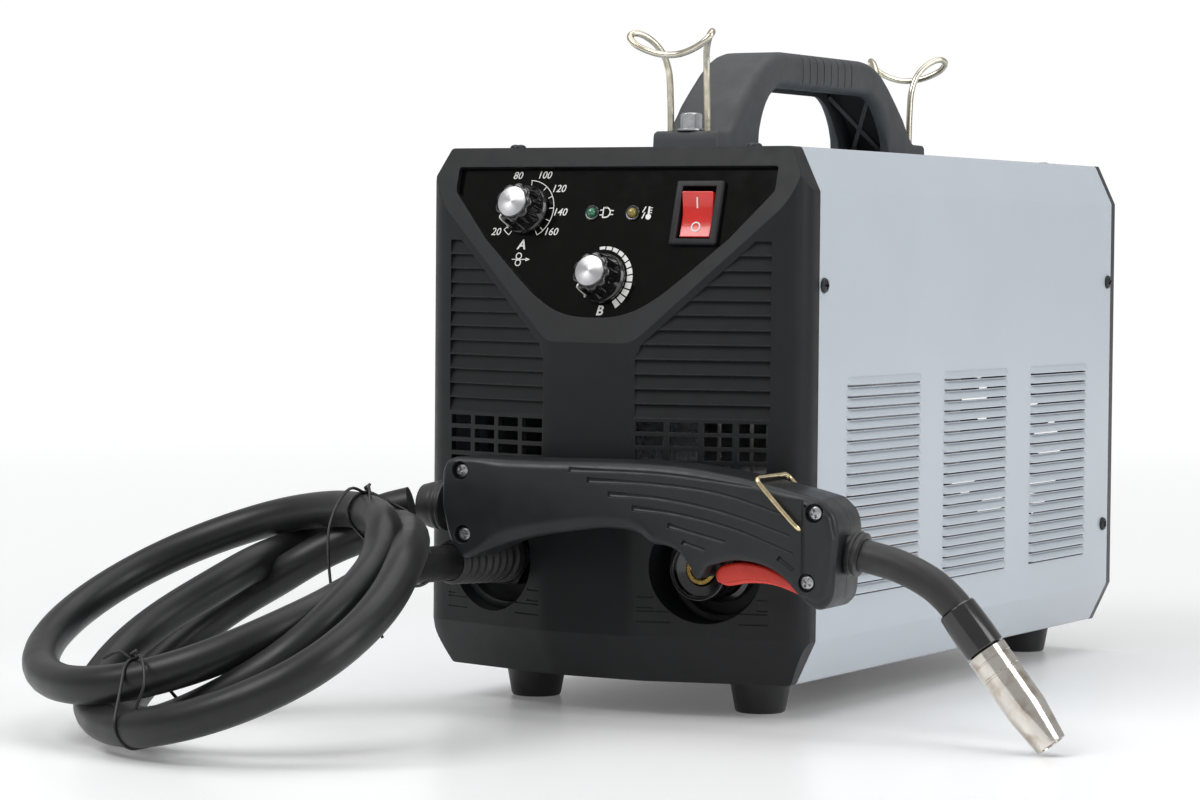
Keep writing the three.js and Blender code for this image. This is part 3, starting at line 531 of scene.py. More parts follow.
# ---------------------------------------------------------------- the torch lead
LEAD_CIRCLES = {  # middle, radius, and lean of each wound turn
    "first": ((-113.2, -159.2, 62.8), 83.9, (-0.19, -0.43)),
    "middle": ((-88.3, -155.6, 49.3), 75.9, (-0.45, -0.51)),
    "last": ((-71.8, -178.5, 53.9), 85.1, (-0.26, -0.49)),
}
LEAD_OUT = [(-58, -22, 72), (-58, -35, 72), (-58, -47.4, 72), (-58, -54, 72), (-56, -69, 72.5),
            (-52, -84, 73.5),
            (-46, -112, 73), (-40, -146, 70), (-40, -180, 62)]
LEAD_IN = [(-134, -115, 66.5), (-121, -91, 77), (-110, -73, 84), (-98, -58.8, 91.2), (-88, -50.8, 96.2),
           (-80, -47.6, 98.5), (-72.8, -46.9, 98.9)]
LEAD_START, LEAD_END, LEAD_STEP = 312, -566, 6  # degrees round the coil
LEAD_POINTS = 264
ROUNDS, CALM_ROUNDS = 620, 120  # of pushing strands apart, the last ones with more smoothing
GIVE_ACROSS = 0.08  # of a push taken across the view; along it all is taken
HOLD_ACROSS, HOLD_ALONG = 0.06, 0.006  # pull back to the first route, across the view and along it
SMOOTHING = 0.4


def wound(degrees):
    """A point of the coil, which passes from its first turn over to the middle one and on to the last."""
    def on(name):
        middle, radius, (lx, ly) = LEAD_CIRCLES[name]
        n = np.array([lx, ly, 1.0])
        n /= np.linalg.norm(n)
        e1 = np.array([1, 0, -lx])
        e1 /= np.linalg.norm(e1)
        a = math.radians(degrees)
        return np.array(middle) + radius * (math.cos(a) * e1 + math.sin(a) * np.cross(n, e1))

    def ease(t):
        t = min(max(t, 0.0), 1.0)
        return t * t * (3 - 2 * t)

    p = on("first")
    p = p + (on("middle") - p) * ease((30 - degrees) / 90)
    return p + (on("last") - p) * ease((-330 - degrees) / 90)


def lead_route():
    """The lead's centreline: strands pushed a diameter apart, bends eased, and nothing below the floor."""
    turns = [wound(d) for d in np.arange(LEAD_START, LEAD_END - 1, -LEAD_STEP)]
    home = spline(LEAD_OUT + turns + LEAD_IN, LEAD_POINTS)
    step = np.linalg.norm(np.diff(home, axis=0), axis=1).sum() / (LEAD_POINTS - 1)
    index = np.arange(LEAD_POINTS)
    far = np.abs(index[:, None] - index) * step > 3 * LEAD_D
    held = np.zeros(LEAD_POINTS, bool)
    held[:8] = held[-4:] = True
    back = np.array(CAMERA_BACK)
    depth, flat = np.outer(back, back), np.eye(3) - np.outer(back, back)
    give, keep = depth + GIVE_ACROSS * flat, HOLD_ACROSS * flat + HOLD_ALONG * depth
    p = home.copy()
    for turn in range(ROUNDS):
        d = p[:, None] - p
        size = np.linalg.norm(d, axis=2) + 1e-9
        w = np.where(far & (size < LEAD_D), (LEAD_D - size) / size, 0)
        push = (d * w[..., None]).sum(1) * 0.5 / np.maximum((w > 0).sum(1), 1)[:, None]
        p2 = p + push @ give + (home - p) @ keep
        for _ in range(1 if turn < ROUNDS - CALM_ROUNDS else 3):
            lap = np.zeros_like(p)
            lap[1:-1] = (p2[:-2] + p2[2:]) / 2 - p2[1:-1]
            twice = np.zeros_like(p)
            twice[1:-1] = (lap[:-2] + lap[2:]) / 2 - lap[1:-1]
            p2 = p2 - SMOOTHING * twice
        p2[:, 2] = np.maximum(p2[:, 2], LEAD_D / 2 + 0.3)
        p2[held] = home[held]
        p = p2
    return p


def torch_lead():
    """The lead, and the points of its centreline in mm."""
    route = lead_route()
    fine = spline(route[::2], 640)
    world = [ORIGIN + Vector(p) * 0.001 for p in fine]
    curve = bpy.data.curves.new("torch_lead", "CURVE")
    curve.dimensions = "3D"
    curve.bevel_depth, curve.bevel_resolution, curve.use_fill_caps = LEAD_D / 2000, 8, True
    line = curve.splines.new("POLY")
    line.points.add(len(world) - 1)
    for point, p in zip(line.points, world):
        point.co = (*p, 1)
    line.use_smooth = True
    curve.materials.append(LEAD)
    obj = placed("torch_lead", curve)
    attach(obj, "case")
    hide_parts("cable_lead_out", "cable_coil", "cable_lead_in")
    return obj, fine


lead, lead_line = torch_lead()


def strain_relief():
    """A tapered ribbed sleeve on the lead where it leaves the front panel."""
    profile = [(8.7, 1), (13, 1), (13, 6)]
    for i in range(7):
        t, r = 8 + 6 * i, 12.6 - 0.32 * i
        profile += [(r - 2.0, t - 0.6), (r - 0.4, t + 0.4), (r, t + 1.0), (r, t + 3.0), (r - 0.4, t + 3.6),
                    (r - 2.0, t + 4.6)]
    profile += [(9.6, 50), (9.0, 50.6), (8.7, 50)]
    return put("lead_relief", lathe(profile, 48), RUBBER, aim((-58, 3, 72), (0, -1, 0)),
               replaces="strain_relief", smooth=50)


relief = strain_relief()


def hull(points):
    """The convex outline round flat points."""
    def turn(a, b, c):
        return (b[0] - a[0]) * (c[1] - a[1]) - (b[1] - a[1]) * (c[0] - a[0])

    def half(seq):
        out = []
        for p in seq:
            while len(out) > 1 and turn(out[-2], out[-1], p) <= 0:
                out.pop()
            out.append(p)
        return out[:-1]

    pts = sorted(map(tuple, points))
    return half(pts) + half(pts[::-1])


def tie(name, near, reach, tails):
    """A twist tie round every strand of the lead that passes near a point, with two loose tails."""
    near = Vector(near)
    line = [Vector(p) for p in lead_line]
    gaps = [(p - near).length for p in line]
    best = min(range(len(line)), key=gaps.__getitem__)
    ahead = (line[best + 1] - line[best - 1]).normalized()
    u = ahead.orthogonal().normalized()
    v = ahead.cross(u)
    rim = []
    for a, b in zip(line, line[1:]):
        sa, sb = (a - near).dot(ahead), (b - near).dot(ahead)
        if sa * sb <= 0 and sa != sb:
            q = a + (b - a) * (sa / (sa - sb))
            if (q - near).length < reach:
                x, y = (q - near).dot(u), (q - near).dot(v)
                rim += [(x + (LEAD_D / 2 + 0.8) * math.cos(t), y + (LEAD_D / 2 + 0.8) * math.sin(t))
                        for t in (2 * math.pi * k / 32 for k in range(32))]
    loop = hull(rim)
    loop = even(np.array(loop + loop[:1]), 90)
    ring = [near + u * x + v * y + ahead * 1.1 * math.sin(i / 89 * 2 * math.pi) for i,
            (x, y) in enumerate(loop)]
    bodies = [tube(ring, 0.75, 10)]
    high = max(ring, key=lambda p: p.z)
    twist = [high + Vector((0, 0, 0.5 * k)) + Vector((math.cos(k), math.sin(k), 0)) for k in range(8)]
    bodies.append(tube(twist, 0.8, 8))
    for tail in tails:
        bodies.append(tube(spline([tuple(high + Vector(p)) for p in tail], 40), 0.7, 10))
    return put(name, merged(*bodies), TIE, smooth=60)


# ---------------------------------------------------------------- case
def section(inset):
    """The case's outline in (x, z), drawn in by some mm."""
    half = CASE_HALF - inset
    low, high = CASE_BOTTOM + inset, CASE_TOP - inset
    cx, cz = CHAMFER_X - inset * 0.2, CHAMFER_Z - inset * 0.6
    return [(-half + cx, low), (half - cx, low), (half, low + cz), (half, high - cz), (half - cx, high),
            (-half + cx, high), (-half, high - cz), (-half, low + cz)]


def rounded(outline, radius, steps=5):
    """An outline with each corner turned into an arc."""
    out = []
    count = len(outline)
    for i, p in enumerate(outline):
        p = Vector(p)
        a = Vector(outline[i - 1]) - p
        b = Vector(outline[(i + 1) % count]) - p
        half = a.angle(b) / 2
        cut = min(radius / math.tan(half), a.length * 0.45, b.length * 0.45)
        start, end = p + a.normalized() * cut, p + b.normalized() * cut
        for k in range(steps + 1):
            t = k / steps
            out.append(tuple((1 - t) ** 2 * start + 2 * t * (1 - t) * p + t * t * end))
    return out


def along_y(outline, y0, y1):
    """A prism along y over an outline in (x, z)."""
    return moved(prism(outline, -y1, -y0), DEPTH_UP)


def panel_plan(inset, strip_y, back_y):
    """The front panel's plan outline, with rounded front corners."""
    def side(x):
        return strip_y + (x - STRIP_HALF) * math.tan(SLOPE) + inset * 1.04

    drop = strip_y - STRIP_Y
    half = CASE_HALF - inset
    start, knee = Vector((89, side(89))), Vector((half + 0.2, side(102)))
    end = Vector((half, 15.5 + drop * 0.1))
    corner = []
    for k in range(13):
        t = k / 12
        corner.append(tuple((1 - t) ** 2 * start + 2 * t * (1 - t) * knee + t * t * end))
    fold = [(STRIP_HALF - 5, strip_y + inset), (STRIP_HALF - 1.5, strip_y + inset + 0.14),
            (STRIP_HALF + 1.5, side(STRIP_HALF + 1.5) + 0.14), (STRIP_HALF + 5, side(STRIP_HALF + 5))]
    right = fold + [(70, side(70))] + corner + [(half, back_y)]
    return right + [(-x, y) for x, y in reversed(right)]


def panel_body(inset, low, knee, high, back_y):
    """The panel as one solid: drawn back at the foot, kept within the case, and cut by the leaning facet."""
    def face_y(z):
        return STRIP_Y + shift + (z - LEAN_FOOT_Z) * math.tan(LEAN)

    plans = [(low, -5.5), (knee, STRIP_Y), (high, STRIP_Y)]
    body = stack([[(x, y, z) for x, y in panel_plan(inset, strip, back_y)] for z, strip in plans])
    body = boolean(body, along_y(rounded(section(inset), 2.4, 4), -60, 60), "INTERSECT")
    shift = inset / math.cos(LEAN)
    wedge = prism([(-60, 150), (face_y(150), 150), (face_y(290), 290), (-60, 290)], -120, 120)
    return boolean(body, moved(wedge, SIDEWAYS))


def plate_outline(grow):
    """The control plate's outline, grown by some mm."""
    top, side, low = 87 + grow, 86.6 + grow, 12.3 - grow
    knee, foot = 74.2 - grow * 0.45, 27 + grow * 0.45
    return [(-foot, low + 2.2), (-foot + 7, low), (foot - 7, low), (foot, low + 2.2), (side, knee),
            (side, top),
            (-side, top), (-side, knee)]


def window_outline():
    """The opening over the control plate: a flat top, clipped sides and a rounded foot."""
    half = [(0, 12.3), (11, 12.9), (21.5, 15.8), (33, 22.4), (44.4, 31.8)]
    foot = spline([(-x, y) for x, y in reversed(half)] + half[1:], 40)
    side = [(65.9, 51.1), (84.6, 72.4), (86.3, 74.6), (86.6, 77), (86.6, 86.2), (85.8, 87)]
    return [tuple(p) for p in foot] + side + [(-x, y) for x, y in reversed(side)]


SLATS, SLAT_PITCH, SLAT_FOOT, SLAT_GAP = 16, 6.95, 141.6, 0.5
RING_SLOPE = 0.936  # rise of the ring round the plate for each mm across
SLAT_FROM, SLAT_TO = 1.6, 66.2  # along the slope from its inner edge


def slat_cuts(side):
    """Wedge cuts that leave a stack of slats, each one proud at its lower edge."""
    cuts = []
    for i in range(SLATS):
        low, high = SLAT_FOOT + i * SLAT_PITCH, SLAT_FOOT + (i + 1) * SLAT_PITCH - SLAT_GAP
        sections = []
        for z, deep in ((low, 0.25), (high, 1.9)):
            start = max(SLAT_FROM, (z + 4.5 - LEAN_FOOT_Z) / RING_SLOPE / math.cos(SLOPE))
            corners = ((start, -deep), (SLAT_TO, -deep), (SLAT_TO, 3), (start, 3))
            sections.append([(side * a, z, n) for a, n in corners])
        if start > SLAT_TO - 3:
            break
        cuts.append(moved(stack(sections), slope_frame(side)))
    return cuts


def window_cuts(side):
    """The grille's openings, in four rows and four columns."""
    cuts = []
    for column in range(4):
        for row in range(4):
            a, z = side * (8.9 + column * 16.4), 118 + row * 6.5
            cuts.append(moved(block(a - 6.8, a + 6.8, z - 2.2, z + 2.2, -8, 4), slope_frame(side)))
    return cuts


def emboss_cuts(side):
    """Fine pressed lines beside the connector recess."""
    cuts = []
    for z in [46 + 6.6 * k for k in range(9)]:
        reach = math.sqrt(max(0, (RECESS_R + 4) ** 2 - (z - RECESS_Z) ** 2))
        middle = (RECESS_X - STRIP_HALF) / math.cos(SLOPE)
        for a0, a1 in ((3.5, middle - reach / math.cos(SLOPE) - 1),
                       (middle + reach / math.cos(SLOPE) + 1, 66)):
            if a1 - a0 > 4:
                for z0, z1 in ((z, z + 0.7), (z + 5.0, z + 5.7)):
                    cuts.append(moved(block(side * a0, side * a1, z0, z1, -0.6, 3), slope_frame(side)))
    return cuts


def front_panel():
    """The moulded front: a hollow shell with two deep recesses, slats, grille, pressed lines and a window."""
    shell = panel_body(0, CASE_BOTTOM, CASE_BOTTOM + 22, CASE_TOP, JOINT_Y)
    solid_shell = shell.copy()
    hollow = panel_body(WALL, CASE_BOTTOM + WALL, CASE_BOTTOM + 23, CASE_TOP - WALL, JOINT_Y + 5)
    panel = boolean(shell, hollow)
    for side in (-1, 1):
        at = aim((side * RECESS_X, 0, RECESS_Z), (0, 1, 0))
        cup = moved(rod(RECESS_R + WALL, -40, 16, 72), at)
        cup = boolean(cup, solid_shell.copy(), "INTERSECT")
        panel = boolean(panel, cup, "UNION")
        panel = boolean(panel, moved(rod(RECESS_R, -60, RECESS_FLOOR, 72), at))
        panel = boolean(panel, moved(rod(9, 0, 30, 40), at))
        panel = boolean(panel, merged(*window_cuts(side), *slat_cuts(side)))
        panel = boolean(panel, merged(*emboss_cuts(side)))
    solid_shell.free()
    window = moved(prism(window_outline(), -9, 9), FACET)
    panel = boolean(panel, window)
    put("front_shell", panel, PANEL, replaces="front_panel", smooth=14)
    for side in (-1, 1):
        rim = moved(lathe([(RECESS_R - 0.1, 6), (RECESS_R - 0.1, 11.5), (RECESS_R - 3.2, 12.6),
                           (RECESS_R - 3.2, 6.8),
                           (RECESS_R - 1.6, 6)], 72), aim((side * RECESS_X, 0, RECESS_Z), (0, 1, 0)))
        put("recess_ring_%s" % ("left" if side < 0 else "right"), rim, PANEL, smooth=30)


def cover():
    """Bent sheet over the top and sides, with a louvred right side and a door opening on the left."""
    low, high = COVER_FRONT, COVER_REAR
    body = along_y(rounded(section(0), 2.2, 4), low, high)
    body = boolean(body, along_y(rounded(section(SHEET), 1.4, 4), low - 5, high + 5))
    cutters = []
    for y0, y1 in LOUVRE_COLUMNS:
        for row in range(LOUVRE_ROWS):
            z = LOUVRE_Z + row * LOUVRE_PITCH
            cutters.append(block(CASE_HALF - 4, CASE_HALF + 4, y0, y1, z - 2.7, z + 0.7))
    cutters.append(block(-CASE_HALF - 4, -CASE_HALF + 4, DOOR_Y[0] - 0.5, DOOR_Y[1] + 0.5,
                         DOOR_Z[0] - 0.5, DOOR_Z[1] + 0.5))
    body = boolean(body, merged(*cutters))
    put("cover_sheet", body, COVER, replaces="cover", smooth=20)


HOOD = [(-0.4, 1.3), (0.0, 2.0), (0.55, 1.75), (1.15, 1.0), (1.7, -0.1), (2.05, -1.3), (1.95, -1.75),
        (1.4, -1.6),
        (1.05, -0.3), (0.5, 0.6)]


def louvre_hoods():
    """A pressed hood over each slot, open downwards, its ends drawn back into the sheet."""
    bodies = []
    for y0, y1 in LOUVRE_COLUMNS:
        for row in range(LOUVRE_ROWS):
            z = LOUVRE_Z + row * LOUVRE_PITCH
            sections = []
            for y, rise in ((y0 - 1.2, 0.02), (y0 + 0.2, 0.55), (y0 + 1.8, 0.9), (y0 + 4, 1), (y1 - 4, 1),
                            (y1 - 1.8, 0.9), (y1 - 0.2, 0.55), (y1 + 1.2, 0.02)):
                sections.append([(CASE_HALF - 0.3 + (x + 0.3) * rise, y, z + h) for x, h in HOOD])
            bodies.append(stack(sections))
    put("louvre_hoods", merged(*bodies), COVER, smooth=40)


# ---------------------------------------------------------------- control plate
def text_mesh(text, size, at, shear=0.0, bold=0.0):
    """Flat lettering centred on a point of the facet."""
    curve = bpy.data.curves.new("text", "FONT")
    curve.body, curve.size, curve.shear = text, size, shear
    curve.align_x, curve.align_y = "CENTER", "CENTER"
    curve.offset, curve.extrude = bold, 0.02
    curve.resolution_u = 3
    obj = placed("text", curve)
    bpy.context.view_layer.update()
    mesh = bpy.data.meshes.new_from_object(obj.evaluated_get(bpy.context.evaluated_depsgraph_get()))
    bm = bmesh.new()
    bm.from_mesh(mesh)
    bpy.data.objects.remove(obj)
    bpy.data.curves.remove(curve)
    bpy.data.meshes.remove(mesh)
    return moved(bm, Matrix.Translation((*at, PLATE_N + 0.04)))


INK = 0.05
INK_AT = Matrix.Translation((0, 0, PLATE_N + 0.03))


def printed(outline):
    """A filled shape printed on the plate."""
    return moved(prism(outline, 0, INK), INK_AT)


def stroke(points, width):
    """A printed line along flat points."""
    pts = [Vector((x, y, 0)) for x, y in points]
    rings = []
    for i, p in enumerate(pts):
        run = (pts[min(i + 1, len(pts) - 1)] - pts[max(i - 1, 0)]).normalized()
        side = Vector((-run.y, run.x, 0)) * width / 2
        a, b = p - side, p + side
        rings.append([(a.x, a.y, 0), (b.x, b.y, 0), (b.x, b.y, INK), (a.x, a.y, INK)])
    return moved(stack(rings), INK_AT)


def clock(middle, radius, degrees):
    """The point of a circle at a clock angle."""
    a = math.radians(degrees)
    return middle[0] + radius * math.sin(a), middle[1] + radius * math.cos(a)


def arc(middle, radius, start, end, count):
    """Flat points on a circle, from one clock angle to another in degrees."""
    return [clock(middle, radius, a) for a in np.linspace(start, end, count)]


def plate_print():
    """The current scale, the voltage wedges, the letters and the small symbols."""
    bodies = []
    for text, at in (("20", (-62.4, 55.2)), ("80", (-55, 83.5)), ("100", (-40.2, 83.7)),
                     ("120", (-31.2, 76.9)),
                     ("140", (-28.6, 65.1)), ("160", (-31.9, 55.3))):
        bodies.append(text_mesh(text, 5.2, at, 0.22, 0.03))
    bodies.append(text_mesh("A", 6.6, (-46.9, 48.7), 0.18, 0.16))
    bodies.append(text_mesh("B", 6.6, (1.4, 16.5), 0.18, 0.16))
    middle, radius = (-47, 66.3), 14.8
    bodies.append(stroke(arc(middle, radius, 0, 148, 60), 0.4))
    bodies.append(stroke(arc(middle, radius, 212, 228, 12), 0.4))
    for a in (2, 38, 62, 86, 112, 134, 148, 212, 228):
        bodies.append(stroke([clock(middle, radius, a), clock(middle, radius - 2.4, a)], 0.4))
    for i in range(12):  # widening segments round the voltage knob
        a0, grow = -12 + i * 13.2, 1.2 + 2.6 * i / 11
        inside = arc((-0.2, 31.5), 16.6 - grow, a0, a0 + 10.6, 7)
        bodies.append(printed(inside + arc((-0.2, 31.5), 16.8, a0, a0 + 10.6, 7)[::-1]))
    fx, fy = -46.8, 41.5  # wire between two feed rolls
    for dy in (1.7, -1.7):
        bodies.append(stroke(arc((fx - 0.6, fy + dy), 1.45, 0, 360, 28), 0.5))
    bodies.append(stroke([(fx - 4.2, fy), (fx + 4.6, fy)], 0.4))
    bodies.append(printed([(fx + 3.4, fy - 0.9), (fx + 5.8, fy), (fx + 3.4, fy + 0.9)]))
    px, py = -2.9, 65.1  # plug
    bodies.append(stroke([(px + 0.6, py + 2.5), (px - 1.6, py + 2.5)], 0.55))
    bodies.append(stroke([(px - 1.8, py + 2.6), (px - 1.8, py - 2.6)], 0.6))
    shell = arc((px - 0.4, py), 2.4, 10, 170, 20)
    bodies.append(stroke([(px - 1.8, py + 2.4), *shell, (px - 1.8, py - 2.4)], 0.6))
    for dy in (1.2, -1.2):
        bodies.append(stroke([(px - 3.6, py + dy), (px - 1.8, py + dy)], 0.55))
        bodies.append(stroke([(px + 2.2, py + dy * 0.8), (px + 3.8, py + dy * 0.8)], 0.5))
    lx, ly = 18.3, 64.9  # lightning and thermometer
    bodies.append(stroke([(lx - 0.2, ly + 3.2), (lx - 1.7, ly + 0.3), (lx - 0.4, ly + 0.3),
                          (lx - 1.6, ly - 2.8)], 0.6))
    bodies.append(stroke([(lx + 1.7, ly + 3.2), (lx + 1.7, ly - 0.6)], 1.0))
    bodies.append(printed(arc((lx + 1.7, ly - 1.8), 1.45, 0, 345, 24)))
    for dy in (2.6, 1.4, 0.2):
        bodies.append(stroke([(lx + 2.4, ly + dy), (lx + 3.4, ly + dy)], 0.4))
    put("plate_print", merged(*bodies), PRINT, FACET, smooth=60)


def control_plate():
    plate = prism(plate_outline(4), PLATE_N - 2.5, PLATE_N)
    holes = [block(SWITCH[0] - 10.8, SWITCH[0] + 10.8, SWITCH[1] - 14.6, SWITCH[1] + 14.6, -20, 5)]
    for place, r in [(p, 4) for p in KNOBS.values()] + [(p, 3.1) for p in LEDS.values()]:
        holes.append(moved(rod(r, -20, 5, 32), Matrix.Translation((*place, 0))))
    put("plate_panel", boolean(plate, merged(*holes)), PLATE, FACET, replaces="control_plate", smooth=30)
    plate_print()


def knob(name, place):
    """A fluted knob on a skirt, with a brushed cap and a pointer line."""
    at = FACET @ Matrix.Translation((*place, PLATE_N))
    body = f"{name}_knob"
    flutes = 9

    def flute(t, a):
        if t < 4.3:
            return 1.0
        deep = 0.13 * min(1.0, (t - 4.2) / 2.0)
        return 1.0 - deep * (0.5 - 0.5 * math.cos(flutes * a)) ** 2

    profile = [(0, -9.5), (3, -9.5), (3, 0.5), (11.7, 0.5), (12, 0.9), (12, 2.6), (11.7, 3.0), (11.2, 3.4),
               (10.9, 4.2), (10.75, 5.2), (10.5, 7), (10.2, 10), (9.95, 12.6), (9.6, 13.6), (8.9, 14.15),
               (8.2, 14.2),
               (8.0, 13.9), (0, 13.9)]
    put(f"{name}_knob_body", lathe(profile, 144, flute), KNOB, at, body, replaces=f"knob_{name}", smooth=50)
    cap = [(0, 13.6), (7.4, 13.6), (7.5, 14.9), (7.3, 15.3), (6.6, 15.55), (3, 15.72), (0, 15.75)]
    put(f"{name}_knob_cap", lathe(cap, 72), CAP, at, body, replaces=f"knob_{name}_cap", smooth=40)
    c, s = math.cos(POINTER_ANGLE), math.sin(POINTER_ANGLE)
    line = [(8.1, 14.35), (9.0, 14.3), (9.85, 13.5), (10.3, 10.5), (10.9, 5.2), (11.3, 3.6), (12.05, 2.8)]
    put(f"{name}_pointer", tube([(r * c, r * s, t) for r, t in line], 0.42, 10), PRINT, at, body, smooth=60)


def led(name, place, lens):
    """An indicator light: a black bezel and a domed lens."""
    profile = [(2.8, -7), (2.8, 0.3), (3.7, 0.3), (3.8, 0.7), (3.5, 1.0), (2.75, 1.05)]
    at = FACET @ Matrix.Translation((*place, PLATE_N))
    put(f"{name}_bezel", lathe([(2.4, -6)] + profile + [(2.4, 0.8)], 40), KNOB, at, smooth=40)
    dome = [(0, -5), (2.35, -5), (2.35, 1.1), (2.15, 1.9), (1.6, 2.6), (0.9, 2.95), (0, 3.05)]
    put(f"{name}_lens", lathe(dome, 40), lens, at, replaces=f"led_{name}", smooth=50)


def power_switch():
    """The switch's frame and body, and its rocker with I and O."""
    at = FACET @ Matrix.Translation((*SWITCH, 0))
    bezel = slab(rounded([(-12.6, -15.8), (12.6, -15.8), (12.6, 15.8), (-12.6, 15.8)], 1.2, 4), -0.7, 0.9,
                 low=-3.0)
    bezel = boolean(bezel, block(-10.5, 10.5, -14.3, 14.3, -22, -2.6), "UNION")
    bezel = boolean(bezel, block(-8.9, 8.9, -12.9, 12.9, -16, 5))
    put("switch_bezel", bezel, PANEL, at, replaces="switch_body", bevel=0.3, smooth=30)
    tilt = at @ Matrix.Translation((0, 0, SWITCH_PIVOT)) @ Matrix.Rotation(SWITCH_REST, 4, "X")
    side = [(-11, 6.5), (-8, 5.75), (-4, 4.9), (0, 4.4), (4, 4.9), (8, 5.75), (11, 6.5), (10.4, 1), (3, -5),
            (-3, -5),
            (-10.4, 1)]
    put("rocker_key", moved(prism(side, -8.2, 8.2), SIDEWAYS), ROCKER, tilt, "rocker",
        replaces="switch_rocker",
        bevel=0.7, segments=3, smooth=25)
    marks = []
    for place, slope_out, mark in (
        ((0, 5.6, 5.42), 0.19, block(-0.35, 0.35, -2.6, 2.6, 0.0, 0.12)),
        ((0, -5.8, 5.45), -0.19, lathe([(2.45, 0), (2.45, 0.12), (1.8, 0.12), (1.8, 0)], 40)),
    ):
        marks.append(moved(mark, Matrix.Translation(place) @ Matrix.Rotation(slope_out, 4, "X")))
    put("rocker_marks", merged(*marks), PRINT, tilt, "rocker", smooth=50)


# ---------------------------------------------------------------- sockets and lead entry
def sockets():
    """The panel socket on the right, and the nut that the lead comes through on the left."""
    at = aim((RECESS_X, 0, RECESS_Z), (0, 1, 0))
    collar = [(8, -11.5), (12.6, -12.5), (12.6, -15.2), (12.9, -15.5), (14.3, -15.5), (14.6, -15.2),
              (14.6, 6),
              (17, 7), (17, 12.7), (8, 12.7)]
    put("output_collar", lathe(collar, 64), KNOB, at, replaces="socket_collar", bevel=0.25, smooth=30)
    insert = [(0, 30), (7.4, 30), (7.4, -12.2), (7.1, -12.5), (5.4, -12.5), (4.8, -11.9), (4.8, 8), (0, 8)]
    put("output_insert", lathe(insert, 64), BRASS, at, replaces="socket_insert", smooth=30)
    nut = prism(hexagon(16), 2.6, 12.7)
    nut = boolean(nut, lathe([(0, 1), (13.8, 1), (17.5, 4.2), (17.5, 30), (0, 30)], 64), "INTERSECT")
    shank = rod(8, 10, 22, 40)
    put("entry_nut", boolean(nut, shank, "UNION"), KNOB, aim((-RECESS_X, 0, RECESS_Z), (0, 1, 0)),
        replaces="gland_nut", bevel=0.4, smooth=30)


# ---------------------------------------------------------------- carry handle and torch rests
def carry_handle():
    """A moulded loop, hollow underneath, on two bolted feet."""
    outer = [(-124, 269.3), (-124, 277.5), (-122.5, 279), (-111, 279.2), (-108, 280.4), (-105, 284),
             (-98, 293.4),
             (-88, 302), (-78, 310), (-70, 315.4), (-62, 318.9), (-54, 320.8), (-46, 321.5), (-20, 321.5)]
    arch = [(-20, 303), (-48, 303), (-53, 302.5), (-58, 300.6), (-63, 297.6), (-68, 292.6), (-73, 286),
            (-76.4, 280.5),
            (-77.6, 276), (-78, 269.3)]
    outline = [(y + HANDLE_Y, z) for y, z in outer] + [(HANDLE_Y - y, z) for y, z in reversed(outer)]
    outline += [(HANDLE_Y - y, z) for y, z in reversed(arch)] + [(HANDLE_Y + y, z) for y, z in arch]
    dense = even(np.array(outline + outline[:1]), 260)[:-1]

    def radius(y, z):
        if z < 272:
            return 0.4
        return 5.5 if z > 284 and abs(y - HANDLE_Y) < 106 else 2.0

    body = moved(slab(dense, HANDLE_HALF, radius), SIDEWAYS)
    channels = []
    for side in (-1, 1):
        route = [(-104, 264), (-96, 281), (-74, 304), (-58, 313), (-45, 316.5), (-45, 296), (-66, 285),
                 (-84, 264)]
        points = [(HANDLE_Y + side * y, z) for y, z in route]
        channels.append(moved(prism(points, -12.5, 12.5), SIDEWAYS))
    channels.append(block(-12.5, 12.5, HANDLE_Y - 45.05, HANDLE_Y + 45.05, 296, 316.5))
    for channel in channels:
        body = boolean(body, channel)
    half, top = HANDLE_HALF - 0.7, 320.8
    inner = [(-half, 296), (half, 296)] + [
        (half - 5 * (1 - math.cos(a)), top - 5 * (1 - math.sin(a))) for a in np.linspace(0, math.pi / 2, 7)
    ] + [(-half + 5 * (1 - math.sin(a)), top - 5 * (1 - math.cos(a))) for a in np.linspace(0, math.pi / 2, 7)]
    outside = [(24, 300), (24, 330), (-24, 330), (-24, 300), (-half, 300)] + inner[:1:-1] + [(half, 300)]
    grooves = [along_y(outside, y - 0.45, y + 0.45) for y in (HANDLE_Y + (i - 3.5) * 8.3 for i in range(8))]
    body = boolean(body, merged(*grooves))
    put("grip_handle", body, GRIP, replaces="carry_handle", smooth=28)
    ribs = []
    for side in (-1, 1):
        foot, head = HANDLE_Y - side * 92, HANDLE_Y - side * 64
        for x in (-12, 12):
            ribs.append(tube([(x, foot, 270), (-x, head, 304)], 1.6, 4))
    for i in range(5):
        y = HANDLE_Y - 36 + 18 * i
        ribs.append(block(-12.4, 12.4, y - 0.8, y + 0.8, 305, 316.6))
    put("handle_ribs", merged(*ribs), GRIP, smooth=30)


HOOK = [(10.2, 0, 1.6), (10.2, 0, 12), (10.2, -0.6, 26), (10.6, -2.2, 40), (12.5, -6, 49), (17, -12, 55.5),
        (21.2, -17, 57.6), (22.4, -20.4, 56), (19.5, -22, 52.4), (12, -21.4, 48.6), (4, -20.6, 46.6)]


